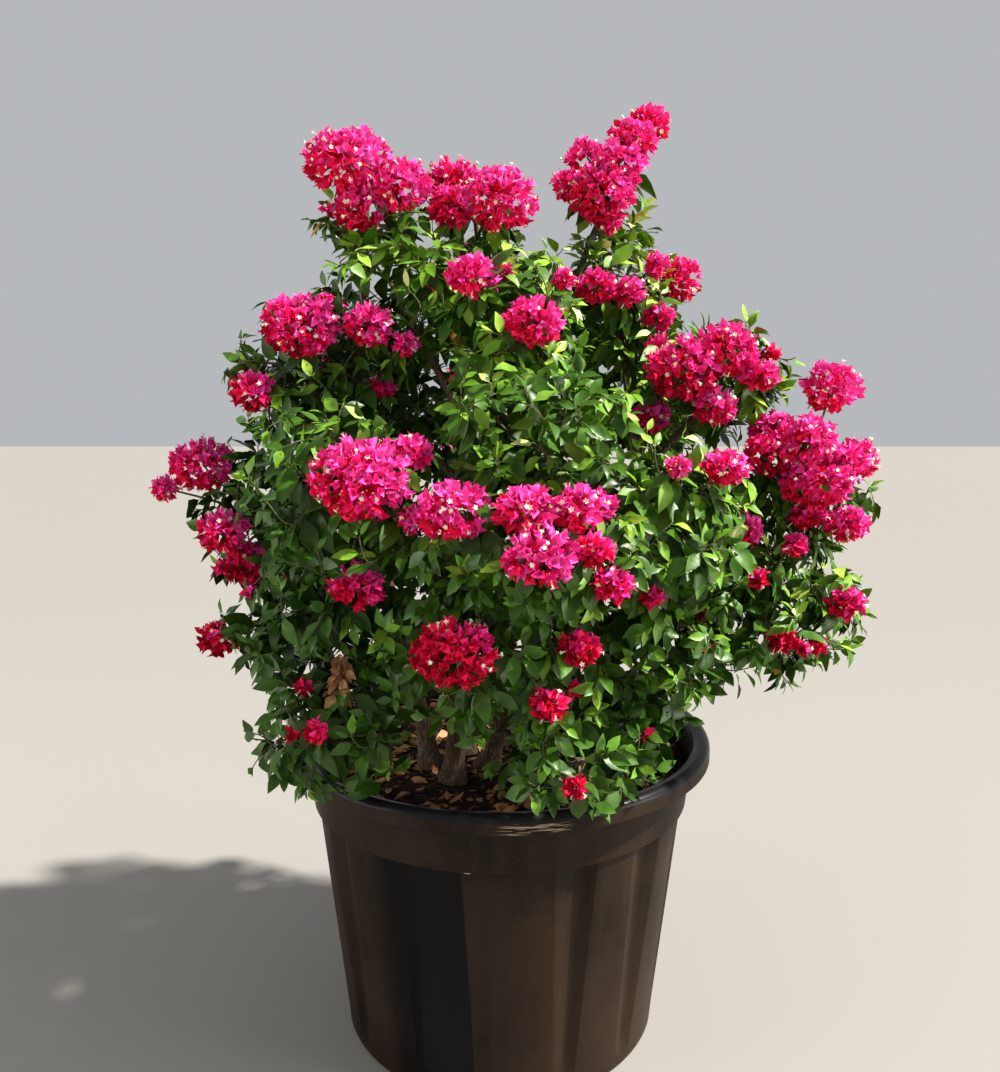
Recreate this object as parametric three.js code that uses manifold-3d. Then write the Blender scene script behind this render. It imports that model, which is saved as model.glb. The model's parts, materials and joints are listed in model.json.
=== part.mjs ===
// A bougainvillea bush in full flower, growing in a black plastic nursery tub.
// Millimetres, +Z up. The origin is the centre of the tub's flat underside.
// The bush is seen from -Y, so +X is its right-hand side.
import * as THREE from 'three';
import { mergeVertices } from 'three/addons/utils/BufferGeometryUtils.js';
import Module from 'manifold-3d';

const wasm = await Module();
wasm.setup();

// Clearances
const FIT = 0.3;            // between pieces that touch
const CUT_FIT = 0.4;        // between pieces that one of them is cut to
const SPACE_MARGIN = 1.2;   // between a mass and the border of its own space
const LIMB_CLEARANCE = 2;   // between foliage and a limb that passes it

// Tub
const TUB_HEIGHT = 580;
const RIM_RADIUS = 400;
const RIM_LOWER_EDGE = 546;
const COLLAR_RADIUS = 368;
const LEDGE_RADIUS = 358;
const LEDGE_HEIGHT = 459;
const BODY_TOP_RADIUS = 350;
const BASE_RADIUS = 293;
const FLOOR_THICKNESS = 8;
const FLUTES = 14;
const FLUTE_TURN = THREE.MathUtils.degToRad(-94);
const FLUTE_TOP_WIDTH = THREE.MathUtils.degToRad(13);
const FLUTE_FOOT_WIDTH = THREE.MathUtils.degToRad(7.5);
const FLUTE_TOP_DEPTH = 13;
const FLUTE_FOOT_DEPTH = 7;
const FLUTE_FOOT = 34;

// Soil
const SOIL_LEVEL = 535;
const SOIL_EDGE_DIP = 5;
const SOIL_EDGE_WIDTH = 40;

// Limbs
const STEM_SIDES = 7;
const STEM_STEPS = 7;
const BOUGH_SIDES = 5;
const BOUGH_STEPS = 3;
const FOOT_FLARE = 1.9;
const KNEE_FLARE = 1.1;
const ENTRY_SHARE = 0.85;   // of a mass's reach, where its limb ends
const ENTRY_INSET = 14;

// Crown
const CROWN_MIDDLE = new THREE.Vector3(0, 0, 1050);
const LOWEST_LEAF = TUB_HEIGHT + 3;
const USUAL_REACH = 130;
const SHOOTS_PER_MASS = 5.7;
const SHORTEST_SHOOT = 0.35;
const INWARD_LIMIT = -0.45;
const FRONT_LIMIT = 0.1;
const BARE_SHOOT_LIMIT = -0.1;
const STEM_TIP = 6;
const SHOOT_RADIUS = 4;
const GOLDEN_ANGLE = Math.PI * (3 - Math.sqrt(5));

// Flower heads
const HEAD_SIDES = 5;
const SEEDED_HEAD_SIZE = 44;
const HEAD_STEP = 7;

// Leaves
const LEAF_LENGTH = 150;
const LEAF_WIDTH = 80;
const LEAF_KEEL = 6;
const LEAVES_ON_SHOOT = 4;
const LEAF_TRIES = 6;
const LEAF_REACH = 1.2;
const TIP_DROOP = 0.12;

// Looks
const looks = {
  plastic: { color: 0x2a211c, roughness: 0.45, metalness: 0 },
  soil: { color: 0x4a3021, roughness: 0.95, metalness: 0 },
  bark: { color: 0x7d6448, roughness: 0.85, metalness: 0 },
  leaf: { color: 0x2f6b1e, roughness: 0.5, metalness: 0 },
  bract: { color: 0xc2124f, roughness: 0.6, metalness: 0 },
};

// Masses of foliage and blossom. Each has its middle, its reach along X, Y and Z, the limb
// that carries it, and the flower heads that face the front: across, up, radius.
const masses = [
  {
    name: 'blossom_top_left', centre: [-230, -40, 1565], reach: [130, 110, 115],
    look: 'bract', bloom: 0.6,
    limb: { name: 'bough_top_left', from: 'stem_left', at: 0.86, butt: 9, tip: 6, arch: -0.1 },
    heads: [[-30, 40, 54], [70, 5, 48], [-5, -40, 49]],
  },
  {
    name: 'blossom_top_middle', centre: [-45, -10, 1540], reach: [95, 100, 100],
    look: 'bract', bloom: 0.5,
    limb: { name: 'bough_top_middle', from: 'stem_back', at: 0.9, butt: 8, tip: 5.5, arch: 0.05 },
    heads: [[-40, 0, 40], [45, 10, 56]],
  },
  {
    name: 'blossom_spike', centre: [200, 10, 1565], reach: [95, 80, 135],
    look: 'bract', bloom: 0.5,
    limb: { name: 'bough_spike', from: 'stem_back', at: 0.8, butt: 8, tip: 6, arch: -0.08 },
    heads: [[-80, 20, 28], [-25, 0, 52], [5, 50, 45], [30, 94, 38], [64, 130, 35], [-10, -50, 23]],
  },
  {
    name: 'foliage_upper_left', centre: [-175, -120, 1390], reach: [130, 120, 125],
    look: 'leaf', bloom: 0.2, core: 0.6,
    limb: { name: 'bough_upper_left', from: 'stem_front', at: 0.82, butt: 9, tip: 6, arch: 0 },
    heads: [[-45, -60, 40], [20, -85, 21]],
  },
  {
    name: 'foliage_upper_middle', centre: [20, -190, 1330], reach: [120, 120, 130],
    look: 'leaf', bloom: 0.2, core: 0.6,
    limb: { name: 'stem_front', base: [-85, -150], butt: 15, tip: 7, arch: -0.03 },
    heads: [[35, 10, 44], [80, 75, 18], [-62, 80, 36]],
  },
  {
    name: 'foliage_upper_right', centre: [210, -10, 1385], reach: [130, 120, 115],
    look: 'leaf', bloom: 0.5, core: 0.6,
    limb: { name: 'bough_upper_right', from: 'stem_right', at: 0.84, butt: 9, tip: 6, arch: 0 },
    heads: [[-45, 20, 33], [10, 10, 27], [60, 55, 21], [90, -40, 32]],
  },
  {
    name: 'foliage_upper_back', centre: [20, 130, 1390], reach: [150, 130, 130],
    look: 'leaf', bloom: 0.3, core: 0.6,
    limb: { name: 'stem_back', base: [-70, -15], butt: 15, tip: 7, arch: 0.03 },
    heads: [],
  },
  {
    name: 'foliage_left_shoulder', centre: [-325, -110, 1255], reach: [135, 130, 130],
    look: 'leaf', bloom: 0.25, core: 0.6,
    limb: { name: 'stem_left', base: [-130, -80], butt: 14, tip: 7, arch: -0.06 },
    heads: [[-5, 90, 61], [-80, -25, 35], [130, -20, 23]],
  },
  {
    name: 'foliage_right_shoulder', centre: [370, -110, 1250], reach: [130, 130, 110],
    look: 'leaf', bloom: 0.5, core: 0.6,
    limb: { name: 'stem_right', base: [-25, -100], butt: 15, tip: 7, arch: -0.06 },
    heads: [[-115, 60, 27], [-70, 15, 54], [-5, 45, 46], [50, 5, 29], [-20, -45, 33], [-105, -65, 31]],
  },
  {
    name: 'blossom_right', centre: [530, -95, 1090], reach: [165, 135, 165],
    look: 'bract', bloom: 0.4,
    limb: { name: 'bough_right_blossom', from: 'stem_right', at: 0.66, butt: 9, tip: 6, arch: 0.06 },
    heads: [
      [30, 145, 45], [-85, 90, 48], [-25, 60, 47], [40, 25, 35], [-5, -5, 54], [-80, 35, 41],
      [-5, -95, 43], [70, -95, 37],
    ],
  },
  {
    name: 'foliage_left_outer', centre: [-440, -60, 1000], reach: [110, 120, 135],
    look: 'leaf', bloom: 0.35, core: 0.6,
    limb: { name: 'bough_left_outer', from: 'stem_left', at: 0.5, butt: 9, tip: 6, arch: 0.08 },
    heads: [[-96, 96, 53], [-35, -10, 39], [-5, -90, 44], [-165, 52, 24]],
  },
  {
    name: 'foliage_front_middle', centre: [60, -330, 1170], reach: [150, 130, 120],
    look: 'leaf', bloom: 0.1, core: 0.64,
    limb: { name: 'bough_front_middle', from: 'stem_front', at: 0.62, butt: 8, tip: 5.5, arch: 0.05 },
    heads: [],
  },
  {
    name: 'foliage_front_left', centre: [-245, -325, 1065], reach: [150, 130, 145],
    look: 'leaf', bloom: 0.15, core: 0.64,
    limb: { name: 'bough_front_left', from: 'stem_front', at: 0.5, butt: 8, tip: 5.5, arch: 0.1 },
    heads: [[45, 45, 62], [118, 80, 32], [116, -20, 22], [30, -132, 40]],
  },
  {
    name: 'foliage_front_blossom', centre: [50, -430, 1010], reach: [175, 110, 95],
    look: 'leaf', bloom: 0.3, core: 0.6,
    limb: { name: 'bough_front_blossom', from: 'stem_front', at: 0.4, butt: 8, tip: 5.5, arch: 0.12 },
    heads: [
      [-115, 60, 45], [-15, 65, 38], [55, 65, 34], [120, 80, 33], [5, 5, 45], [80, 12, 26], [108, -42, 28],
    ],
  },
  {
    name: 'foliage_front_right', centre: [260, -320, 1035], reach: [140, 125, 135],
    look: 'leaf', bloom: 0.2, core: 0.64,
    limb: { name: 'bough_front_right', from: 'stem_right', at: 0.5, butt: 8, tip: 5.5, arch: 0.1 },
    heads: [[0, 90, 17], [73, 87, 31], [-30, -110, 17]],
  },
  {
    name: 'foliage_low_front', centre: [0, -370, 840], reach: [185, 130, 130],
    look: 'leaf', bloom: 0.1, core: 0.64,
    limb: { name: 'bough_low_front', from: 'stem_front', at: 0.22, butt: 8, tip: 5.5, arch: 0.12 },
    heads: [[-65, 25, 53], [125, 25, 32], [70, -55, 26], [150, -85, 16]],
  },
  {
    name: 'foliage_low_left', centre: [-300, -205, 835], reach: [155, 150, 140],
    look: 'leaf', bloom: 0.1, core: 0.64,
    limb: { name: 'bough_low_left', from: 'stem_left', at: 0.26, butt: 9, tip: 6, arch: 0.08 },
    heads: [[-182, -22, 32]],
  },
  {
    name: 'foliage_low_right', centre: [450, -130, 875], reach: [190, 170, 155],
    look: 'leaf', bloom: 0.15, core: 0.64,
    limb: { name: 'bough_low_right', from: 'stem_right', at: 0.32, butt: 10, tip: 6, arch: 0.1 },
    heads: [[-43, 128, 30], [35, 105, 21], [120, 10, 28], [10, -45, 24], [75, -60, 16]],
  },
  {
    name: 'foliage_foot_left', centre: [-275, -325, 680], reach: [125, 95, 90],
    look: 'leaf', bloom: 0.05,
    limb: { name: 'bough_foot_left', from: 'stem_left', at: 0.13, butt: 7, tip: 5, arch: 0.12 },
    heads: [[-5, 40, 19]],
  },
  {
    name: 'foliage_foot_right', centre: [115, -385, 668], reach: [125, 95, 80],
    look: 'leaf', bloom: 0.05,
    limb: { name: 'bough_foot_right', from: 'stem_front', at: 0.1, butt: 7, tip: 5, arch: 0.12 },
    heads: [[-5, -8, 18]],
  },
  {
    name: 'foliage_low_inner_right', centre: [250, -265, 815], reach: [130, 120, 125],
    look: 'leaf', bloom: 0.1, core: 0.6,
    limb: { name: 'bough_low_inner_right', from: 'stem_right', at: 0.28, butt: 8, tip: 5.5, arch: 0.1 },
    heads: [],
  },
  {
    name: 'foliage_foot_inner_right', centre: [200, -270, 670], reach: [105, 95, 82],
    look: 'leaf', bloom: 0.05,
    limb: { name: 'bough_foot_inner_right', from: 'stem_right', at: 0.1, butt: 7, tip: 5, arch: 0.12 },
    heads: [],
  },
  {
    name: 'foliage_back_left_upper', centre: [-270, 175, 1240], reach: [160, 165, 150],
    look: 'leaf', bloom: 0.6, core: 0.64,
    limb: { name: 'bough_back_left_upper', from: 'stem_back', at: 0.6, butt: 9, tip: 6, arch: 0 },
    heads: [],
  },
  {
    name: 'foliage_back_right_upper', centre: [280, 180, 1230], reach: [170, 170, 150],
    look: 'leaf', bloom: 0.6, core: 0.64,
    limb: { name: 'bough_back_right_upper', from: 'stem_back', at: 0.67, butt: 9, tip: 6, arch: 0 },
    heads: [],
  },
  {
    name: 'foliage_back_middle', centre: [0, 320, 1110], reach: [180, 150, 160],
    look: 'leaf', bloom: 0.6, core: 0.64,
    limb: { name: 'bough_back_middle', from: 'stem_back', at: 0.5, butt: 8, tip: 5.5, arch: 0.04 },
    heads: [],
  },
  {
    name: 'foliage_back_left_low', centre: [-345, 200, 930], reach: [170, 180, 150],
    look: 'leaf', bloom: 0.5, core: 0.64,
    limb: { name: 'bough_back_left_low', from: 'stem_back', at: 0.34, butt: 9, tip: 6, arch: 0.08 },
    heads: [],
  },
  {
    name: 'foliage_back_right_low', centre: [380, 200, 925], reach: [180, 190, 160],
    look: 'leaf', bloom: 0.5, core: 0.64,
    limb: { name: 'bough_back_right_low', from: 'stem_back', at: 0.27, butt: 9, tip: 6, arch: 0.1 },
    heads: [],
  },
  {
    name: 'foliage_back_low', centre: [20, 320, 820], reach: [190, 150, 130],
    look: 'leaf', bloom: 0.5, core: 0.64,
    limb: { name: 'bough_back_low', from: 'stem_back', at: 0.2, butt: 8, tip: 5.5, arch: 0.1 },
    heads: [],
  },
];

const UP = new THREE.Vector3(0, 0, 1);
const AWAY = new THREE.Vector3(0, 1, 0);

function lerp(a, b, t) {
  return a + (b - a) * t;
}

function between(from, to, t) {
  return new THREE.Vector3().lerpVectors(from, to, t);
}

function moved(point, direction, distance) {
  return point.clone().addScaledVector(direction, distance);
}

function heading(from, to) {
  return new THREE.Vector3().subVectors(to, from).normalize();
}

// Numbers from 0 to 1 that are the same each time
function seeded(seed) {
  let state = seed;
  return () => {
    state = (Math.imul(state, 1664525) + 1013904223) >>> 0;
    return state / 2 ** 32;
  };
}

// A closed skin over a run of rings. A ring of one point is a tip.
function loft(rings) {
  const starts = [];
  let count = 0;
  for (const ring of rings) {
    starts.push(count);
    count += ring.length;
  }
  const faces = [];
  for (let i = 0; i + 1 < rings.length; i += 1) {
    const low = rings[i].length;
    const high = rings[i + 1].length;
    for (let k = 0; k < Math.max(low, high); k += 1) {
      const a = starts[i] + (k % low);
      const b = starts[i] + ((k + 1) % low);
      const c = starts[i + 1] + ((k + 1) % high);
      const d = starts[i + 1] + (k % high);
      if (a !== b) faces.push(a, b, c);
      if (c !== d) faces.push(a, c, d);
    }
  }
  for (let k = 1; k + 1 < rings[0].length; k += 1) faces.push(0, k + 1, k);
  const last = starts[starts.length - 1];
  for (let k = 1; k + 1 < rings.at(-1).length; k += 1) faces.push(last, last + k, last + k + 1);

  const points = rings.flat();
  let volume = 0;
  for (let k = 0; k < faces.length; k += 3) {
    const [a, b, c] = [points[faces[k]], points[faces[k + 1]], points[faces[k + 2]]];
    volume += a.dot(new THREE.Vector3().crossVectors(b, c));
  }
  if (volume < 0) faces.reverse();
  const geometry = new THREE.BufferGeometry().setFromPoints(points);
  geometry.setIndex(faces);
  return geometry;
}

function solidOf(geometry) {
  return new wasm.Manifold(new wasm.Mesh({
    numProp: 3,
    vertProperties: new Float32Array(geometry.attributes.position.array),
    triVerts: new Uint32Array(geometry.index.array),
  }));
}

function geometryOf(solid) {
  const { vertProperties, triVerts } = solid.getMesh();
  const geometry = new THREE.BufferGeometry();
  geometry.setAttribute('position', new THREE.BufferAttribute(vertProperties, 3));
  geometry.setIndex(new THREE.BufferAttribute(triVerts, 1));
  return geometry;
}

// The largest connected piece, with sealed hollows and loose scraps dropped
function mainPiece(solid) {
  return solid.decompose().reduce((best, next) => (next.volume() > best.volume() ? next : best));
}

// A ring of points round an axis
function ringAround(middle, axis, radius, sides, turn = 0) {
  const side = new THREE.Vector3().crossVectors(axis, Math.abs(axis.z) < 0.9 ? UP : AWAY).normalize();
  const front = new THREE.Vector3().crossVectors(side, axis);
  const ring = [];
  for (let k = 0; k < sides; k += 1) {
    const angle = turn + (2 * Math.PI * k) / sides;
    const point = moved(middle, side, radius * Math.cos(angle));
    ring.push(moved(point, front, radius * Math.sin(angle)));
  }
  return ring;
}

// A round tapering shaft along a curve
function shaft(curve, butt, tip, sides, steps, extra = 0) {
  const frames = curve.computeFrenetFrames(steps);
  const rings = [];
  for (let i = 0; i <= steps; i += 1) {
    const middle = curve.getPointAt(i / steps);
    const radius = lerp(butt, tip, i / steps) + extra;
    const ring = [];
    for (let k = 0; k < sides; k += 1) {
      const turn = (2 * Math.PI * k) / sides;
      const point = moved(middle, frames.normals[i], radius * Math.cos(turn));
      ring.push(moved(point, frames.binormals[i], radius * Math.sin(turn)));
    }
    rings.push(ring);
  }
  return rings;
}

// Tub: one ring of its wall, with the V-shaped grooves pressed in or left out
function tubRing(radius, height, grooved = false) {
  const share = grooved ? height / LEDGE_HEIGHT : 1;
  const width = lerp(FLUTE_FOOT_WIDTH, FLUTE_TOP_WIDTH, share);
  const groove = grooved ? lerp(FLUTE_FOOT_DEPTH, FLUTE_TOP_DEPTH, share) : 0;
  const pitch = (2 * Math.PI) / FLUTES;
  const section = [[-width / 2, 0], [0, groove], [width / 2, 0], [pitch / 2, 0]];
  const ring = [];
  for (let flute = 0; flute < FLUTES; flute += 1) {
    for (const [turn, depth] of section) {
      const angle = FLUTE_TURN + flute * pitch + turn;
      const reach = radius - depth;
      ring.push(new THREE.Vector3(reach * Math.cos(angle), reach * Math.sin(angle), height));
    }
  }
  return ring;
}

// The wall's inner side, from the floor up to the rim
const innerWall = [[288, FLOOR_THICKNESS], [331, 452], [352, 480], [363, RIM_LOWER_EDGE]];

function tubGeometry() {
  return loft([
    [new THREE.Vector3(0, 0, 0)],
    tubRing(BASE_RADIUS, 0),
    tubRing(BASE_RADIUS + 7, 6),
    tubRing(BASE_RADIUS + 9, FLUTE_FOOT - 12),
    tubRing(BASE_RADIUS + 10, FLUTE_FOOT, true),
    tubRing(BODY_TOP_RADIUS, LEDGE_HEIGHT, true),
    tubRing(LEDGE_RADIUS, LEDGE_HEIGHT),
    tubRing(COLLAR_RADIUS, RIM_LOWER_EDGE),
    tubRing(RIM_RADIUS, RIM_LOWER_EDGE),
    tubRing(RIM_RADIUS, TUB_HEIGHT - 13),
    tubRing(RIM_RADIUS - 5, TUB_HEIGHT - 3),
    tubRing(RIM_RADIUS - 16, TUB_HEIGHT),
    tubRing(RIM_RADIUS - 28, TUB_HEIGHT - 5),
    ...innerWall.map(([radius, height]) => tubRing(radius, height)).reverse(),
    [new THREE.Vector3(0, 0, FLOOR_THICKNESS)],
  ]);
}

// Soil: fills the tub to its level, a little lower at the wall
function soilGeometry() {
  const [[footRadius], [bodyRadius, bodyHeight], [collarRadius, collarHeight], [topRadius]] = innerWall;
  const share = (SOIL_LEVEL - collarHeight) / (RIM_LOWER_EDGE - collarHeight);
  const edgeRadius = lerp(collarRadius, topRadius, share) - SOIL_EDGE_DIP;
  return loft([
    [new THREE.Vector3(0, 0, FLOOR_THICKNESS + FIT)],
    tubRing(footRadius - CUT_FIT, FLOOR_THICKNESS + FIT),
    tubRing(bodyRadius - CUT_FIT, bodyHeight),
    tubRing(collarRadius - CUT_FIT, collarHeight),
    tubRing(edgeRadius, SOIL_LEVEL - SOIL_EDGE_DIP),
    tubRing(edgeRadius - SOIL_EDGE_WIDTH, SOIL_LEVEL),
    [new THREE.Vector3(0, 0, SOIL_LEVEL)],
  ]);
}

for (const mass of masses) {
  mass.middle = new THREE.Vector3(...mass.centre);
  mass.span = new THREE.Vector3(...mass.reach);
  mass.size = (mass.reach[0] + mass.reach[1] + mass.reach[2]) / 3;
}

// Space of a mass: its own side of the border with each neighbour. The border is a plane,
// set by the two masses' sizes.
function borderGap(mass, other, point) {
  const own = point.distanceToSquared(mass.middle) - mass.size ** 2;
  const theirs = point.distanceToSquared(other.middle) - other.size ** 2;
  return (theirs - own) / (2 * mass.middle.distanceTo(other.middle));
}

function inCell(mass, point) {
  if (point.z < LOWEST_LEAF) return false;
  return masses.every((other) => other === mass || borderGap(mass, other, point) > SPACE_MARGIN);
}

function reachShare(mass, point) {
  const offset = new THREE.Vector3().subVectors(point, mass.middle);
  return offset.divide(mass.span).length();
}

// Limbs: the stems rise from the soil, each bough springs from a stem,
// and each ends where it enters its mass
const limbs = new Map();

function entryTo(mass, from) {
  const back = heading(mass.middle, from);
  let distance = 0;
  let point = mass.middle;
  while (reachShare(mass, point) < ENTRY_SHARE && inCell(mass, moved(point, back, ENTRY_INSET))) {
    distance += 4;
    point = moved(mass.middle, back, distance);
  }
  return point;
}

// A stem leans out late. A bough arches up, or down, between its ends.
function limbCurve(mass, start) {
  const tip = entryTo(mass, start);
  const bend = between(start, tip, mass.limb.from ? 0.5 : 0.3);
  bend.z = mass.limb.from ? bend.z + 2 * mass.limb.arch * start.distanceTo(tip) : lerp(start.z, tip.z, 0.55);
  return new THREE.QuadraticBezierCurve3(start, bend, tip);
}

// Rings of a limb's bark. A stem's foot is cut flat at the soil and flares over the roots.
function barkRings(limb, extra = 0) {
  const rings = shaft(limb.curve, limb.butt, limb.tip, limb.sides, limb.steps, extra);
  if (limb.parent) return rings;
  const foot = limb.curve.getPoint(0);
  [FOOT_FLARE, KNEE_FLARE].forEach((flare, row) => {
    for (const point of rings[row]) {
      const height = row === 0 ? foot.z : point.z;
      point.sub(foot).multiplyScalar(flare).add(foot).setZ(height);
    }
  });
  return rings;
}

function addLimb(mass) {
  const { name, from, at, base, butt, tip } = mass.limb;
  const parent = limbs.get(from);
  const start = parent ? parent.curve.getPoint(at) : new THREE.Vector3(...base, SOIL_LEVEL + FIT);
  const limb = { name, parent, butt, tip, curve: limbCurve(mass, start) };
  limb.sides = parent ? BOUGH_SIDES : STEM_SIDES;
  limb.steps = parent ? BOUGH_STEPS : STEM_STEPS;
  limb.course = limb.curve.getPoints(16);
  limb.solid = solidOf(loft(barkRings(limb)));
  if (parent) limb.solid = mainPiece(limb.solid.subtract(solidOf(loft(barkRings(parent, CUT_FIT)))));
  limbs.set(name, limb);
}

const stemMasses = masses.filter((mass) => !mass.limb.from);
const boughMasses = masses.filter((mass) => mass.limb.from);
[...stemMasses, ...boughMasses].forEach(addLimb);

// Distance from a point to a limb's bark
function barkGap(limb, point) {
  let nearest = Infinity;
  for (let i = 0; i + 1 < limb.course.length; i += 1) {
    const piece = new THREE.Line3(limb.course[i], limb.course[i + 1]);
    const closest = piece.closestPointToPoint(point, true, new THREE.Vector3());
    const radius = lerp(limb.butt, limb.tip, i / (limb.course.length - 1));
    nearest = Math.min(nearest, closest.distanceTo(point) - radius);
  }
  return nearest;
}

function clearOfLimbs(points, radii) {
  for (const limb of limbs.values()) {
    for (let i = 0; i < points.length; i += 1) {
      if (barkGap(limb, points[i]) < radii[i] + LIMB_CLEARANCE) return false;
    }
  }
  return true;
}

// Leaf: a thin pointed blade with a keel below, widest near its root, drooping at its tip
function leafRings(root, along, face, length) {
  const across = new THREE.Vector3().crossVectors(along, face).normalize();
  const top = new THREE.Vector3().crossVectors(across, along).normalize();
  const middle = moved(root, along, length * 0.4);
  const halfWidth = (length * LEAF_WIDTH) / LEAF_LENGTH / 2;
  return [
    [root],
    [moved(middle, across, halfWidth), moved(middle, across, -halfWidth), moved(middle, top, -LEAF_KEEL)],
    [moved(moved(root, along, length), top, -length * TIP_DROOP)],
  ];
}

// Flower head: a ball of pointed bracts, long and short in turn
function headRings(middle, axis, size) {
  const level = 0.4 * size;
  const spread = 0.92 * size;
  const low = ringAround(moved(middle, axis, -level), axis, spread, HEAD_SIDES);
  const high = ringAround(moved(middle, axis, level), axis, spread, HEAD_SIDES, Math.PI / HEAD_SIDES);
  for (const ring of [low, high]) {
    ring.forEach((point, k) => point.lerp(middle, k % 2 ? -0.1 : 0.14));
  }
  return [[moved(middle, axis, -size * 0.85)], low, high, [moved(middle, axis, size * 0.9)]];
}

// Place of a front head: on the front of its mass's reach
function headPlace(mass, across, up) {
  const [wide, deep, tall] = mass.reach;
  const rest = 1 - (across / wide) ** 2 - (up / tall) ** 2;
  const forward = 0.9 * deep * Math.sqrt(Math.max(0, rest));
  return new THREE.Vector3(across, -forward, up).add(mass.middle);
}

// Even spread of directions over a ball
function spreadDirection(k, count, turn) {
  const height = 1 - (2 * (k + 0.5)) / count;
  const ring = Math.sqrt(1 - height * height);
  const angle = turn + k * GOLDEN_ANGLE;
  return new THREE.Vector3(ring * Math.cos(angle), ring * Math.sin(angle), height);
}

// A tip that would lie past its mass's border is drawn back towards the middle
function drawnBack(mass, direction, far) {
  const reach = direction.clone().multiply(mass.span);
  for (let share = far; share > SHORTEST_SHOOT; share *= 0.92) {
    const place = moved(mass.middle, reach, share);
    if (inCell(mass, moved(place, direction, SHOOT_RADIUS))) return place;
  }
  return null;
}

// Shoots of a mass: one to each front head, and the rest spread evenly to its outer sides.
// Away from the front, a seeded share of them bears a head as well. In a mass of blossom,
// the shoots without a head only hang below it.
function shootTips(mass, random) {
  const tips = mass.heads.map(([across, up, size]) => ({ place: headPlace(mass, across, up), size }));
  const outward = heading(CROWN_MIDDLE, mass.middle);
  const count = Math.round(SHOOTS_PER_MASS * (mass.size / USUAL_REACH) ** 2);
  const turn = random() * 2 * Math.PI;
  for (let k = 0; k < count; k += 1) {
    const direction = spreadDirection(k, count, turn);
    const far = lerp(0.72, 0.92, random());
    const luck = random();
    const size = SEEDED_HEAD_SIZE * lerp(0.75, 1.15, random());
    const facing = direction.dot(outward);
    const place = facing < INWARD_LIMIT ? null : drawnBack(mass, direction, far);
    if (!place || tips.some((tip) => tip.place.distanceTo(place) < tip.size + 30)) continue;
    const bears = luck < mass.bloom && direction.y > FRONT_LIMIT && facing > 0;
    if (mass.look === 'bract' && !bears && direction.z > BARE_SHOOT_LIMIT) continue;
    tips.push({ place, size: bears ? size : 0 });
  }
  return tips;
}

// A head that would cross its mass's border, or touch a limb, is drawn in towards the middle
function settledHead(mass, place, size) {
  const axis = heading(mass.middle, place);
  for (let step = 0; step < 8; step += 1) {
    const middle = moved(place, axis, -HEAD_STEP * step);
    const radius = size * (1 - 0.04 * step);
    const inside = headRings(middle, axis, radius).flat().every((point) => inCell(mass, point));
    if (inside && clearOfLimbs([middle], [radius * 1.1])) return { middle, radius };
  }
  return null;
}

// A small lumpy body inside a dense mass, which its shoots and leaves stand out of
function coreSolid(mass) {
  const ball = new THREE.IcosahedronGeometry(1, 0);
  ball.deleteAttribute('normal');
  ball.deleteAttribute('uv');
  const geometry = mergeVertices(ball);
  const corners = geometry.attributes.position;
  for (let k = 0; k < corners.count; k += 1) {
    const reach = new THREE.Vector3().fromBufferAttribute(corners, k).multiply(mass.span);
    let share = mass.core * (k % 2 ? 1.08 : 0.88);
    while (!inCell(mass, moved(mass.middle, reach, share))) share *= 0.9;
    corners.setXYZ(k, ...moved(mass.middle, reach, share));
  }
  let core = solidOf(geometry);
  for (const limb of limbs.values()) {
    core = core.subtract(solidOf(loft(barkRings(limb, LIMB_CLEARANCE))));
  }
  return mainPiece(core);
}

// A shoot and its head, if it has room
function growShoot(mass, start, tip) {
  const head = tip.size ? settledHead(mass, tip.place, tip.size) : null;
  if (tip.size && !head) return null;
  const end = head ? head.middle : tip.place;
  const line = new THREE.LineCurve3(start, end);
  const course = line.getSpacedPoints(8).slice(1);
  const inside = course.every((point) => inCell(mass, point));
  if (!inside || !clearOfLimbs(course.slice(1), course.map(() => SHOOT_RADIUS))) return null;
  const twig = solidOf(loft(shaft(line, SHOOT_RADIUS, SHOOT_RADIUS / 2, 3, 1)));
  const ball = head ? solidOf(loft(headRings(end, heading(mass.middle, end), head.radius))) : null;
  return { line, twig, ball, headSize: head ? head.radius : 0 };
}

// A mass: one stem that goes on from its limb's tip, the core of a dense mass,
// shoots in turn along the stem, and the leaves on them, all fused
function growMass(mass) {
  const random = seeded(7919 * (1 + masses.indexOf(mass)));
  const limb = limbs.get(mass.limb.name);
  const ahead = limb.curve.getTangent(1);
  const root = moved(limb.curve.getPoint(1), ahead, FIT);
  const end = moved(mass.middle, heading(root, mass.middle), mass.size * 0.2);
  const stemRings = [ringAround(root, ahead, limb.tip, 4), ringAround(end, heading(root, end), STEM_TIP, 4)];
  const core = mass.core ? coreSolid(mass) : null;
  const pieces = [solidOf(loft(stemRings))];
  if (core) pieces.push(core);

  const tips = shootTips(mass, random);
  const rise = (tip) => heading(mass.middle, tip.place).dot(ahead);
  tips.sort((a, b) => rise(a) - rise(b));
  const starts = tips.map((tip, k) => between(root, end, lerp(0.25, 0.97, (k + 0.5) / tips.length)));
  const shoots = tips.map((tip, k) => growShoot(mass, starts[k], tip)).filter((shoot) => shoot);
  for (const { twig, ball } of shoots) {
    pieces.push(twig);
    if (ball) pieces.push(ball);
  }
  for (const shoot of shoots) addLeaves(mass, shoot, core, random, pieces);
  return mainPiece(pieces.reduce((sum, next) => sum.add(next)));
}

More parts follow.
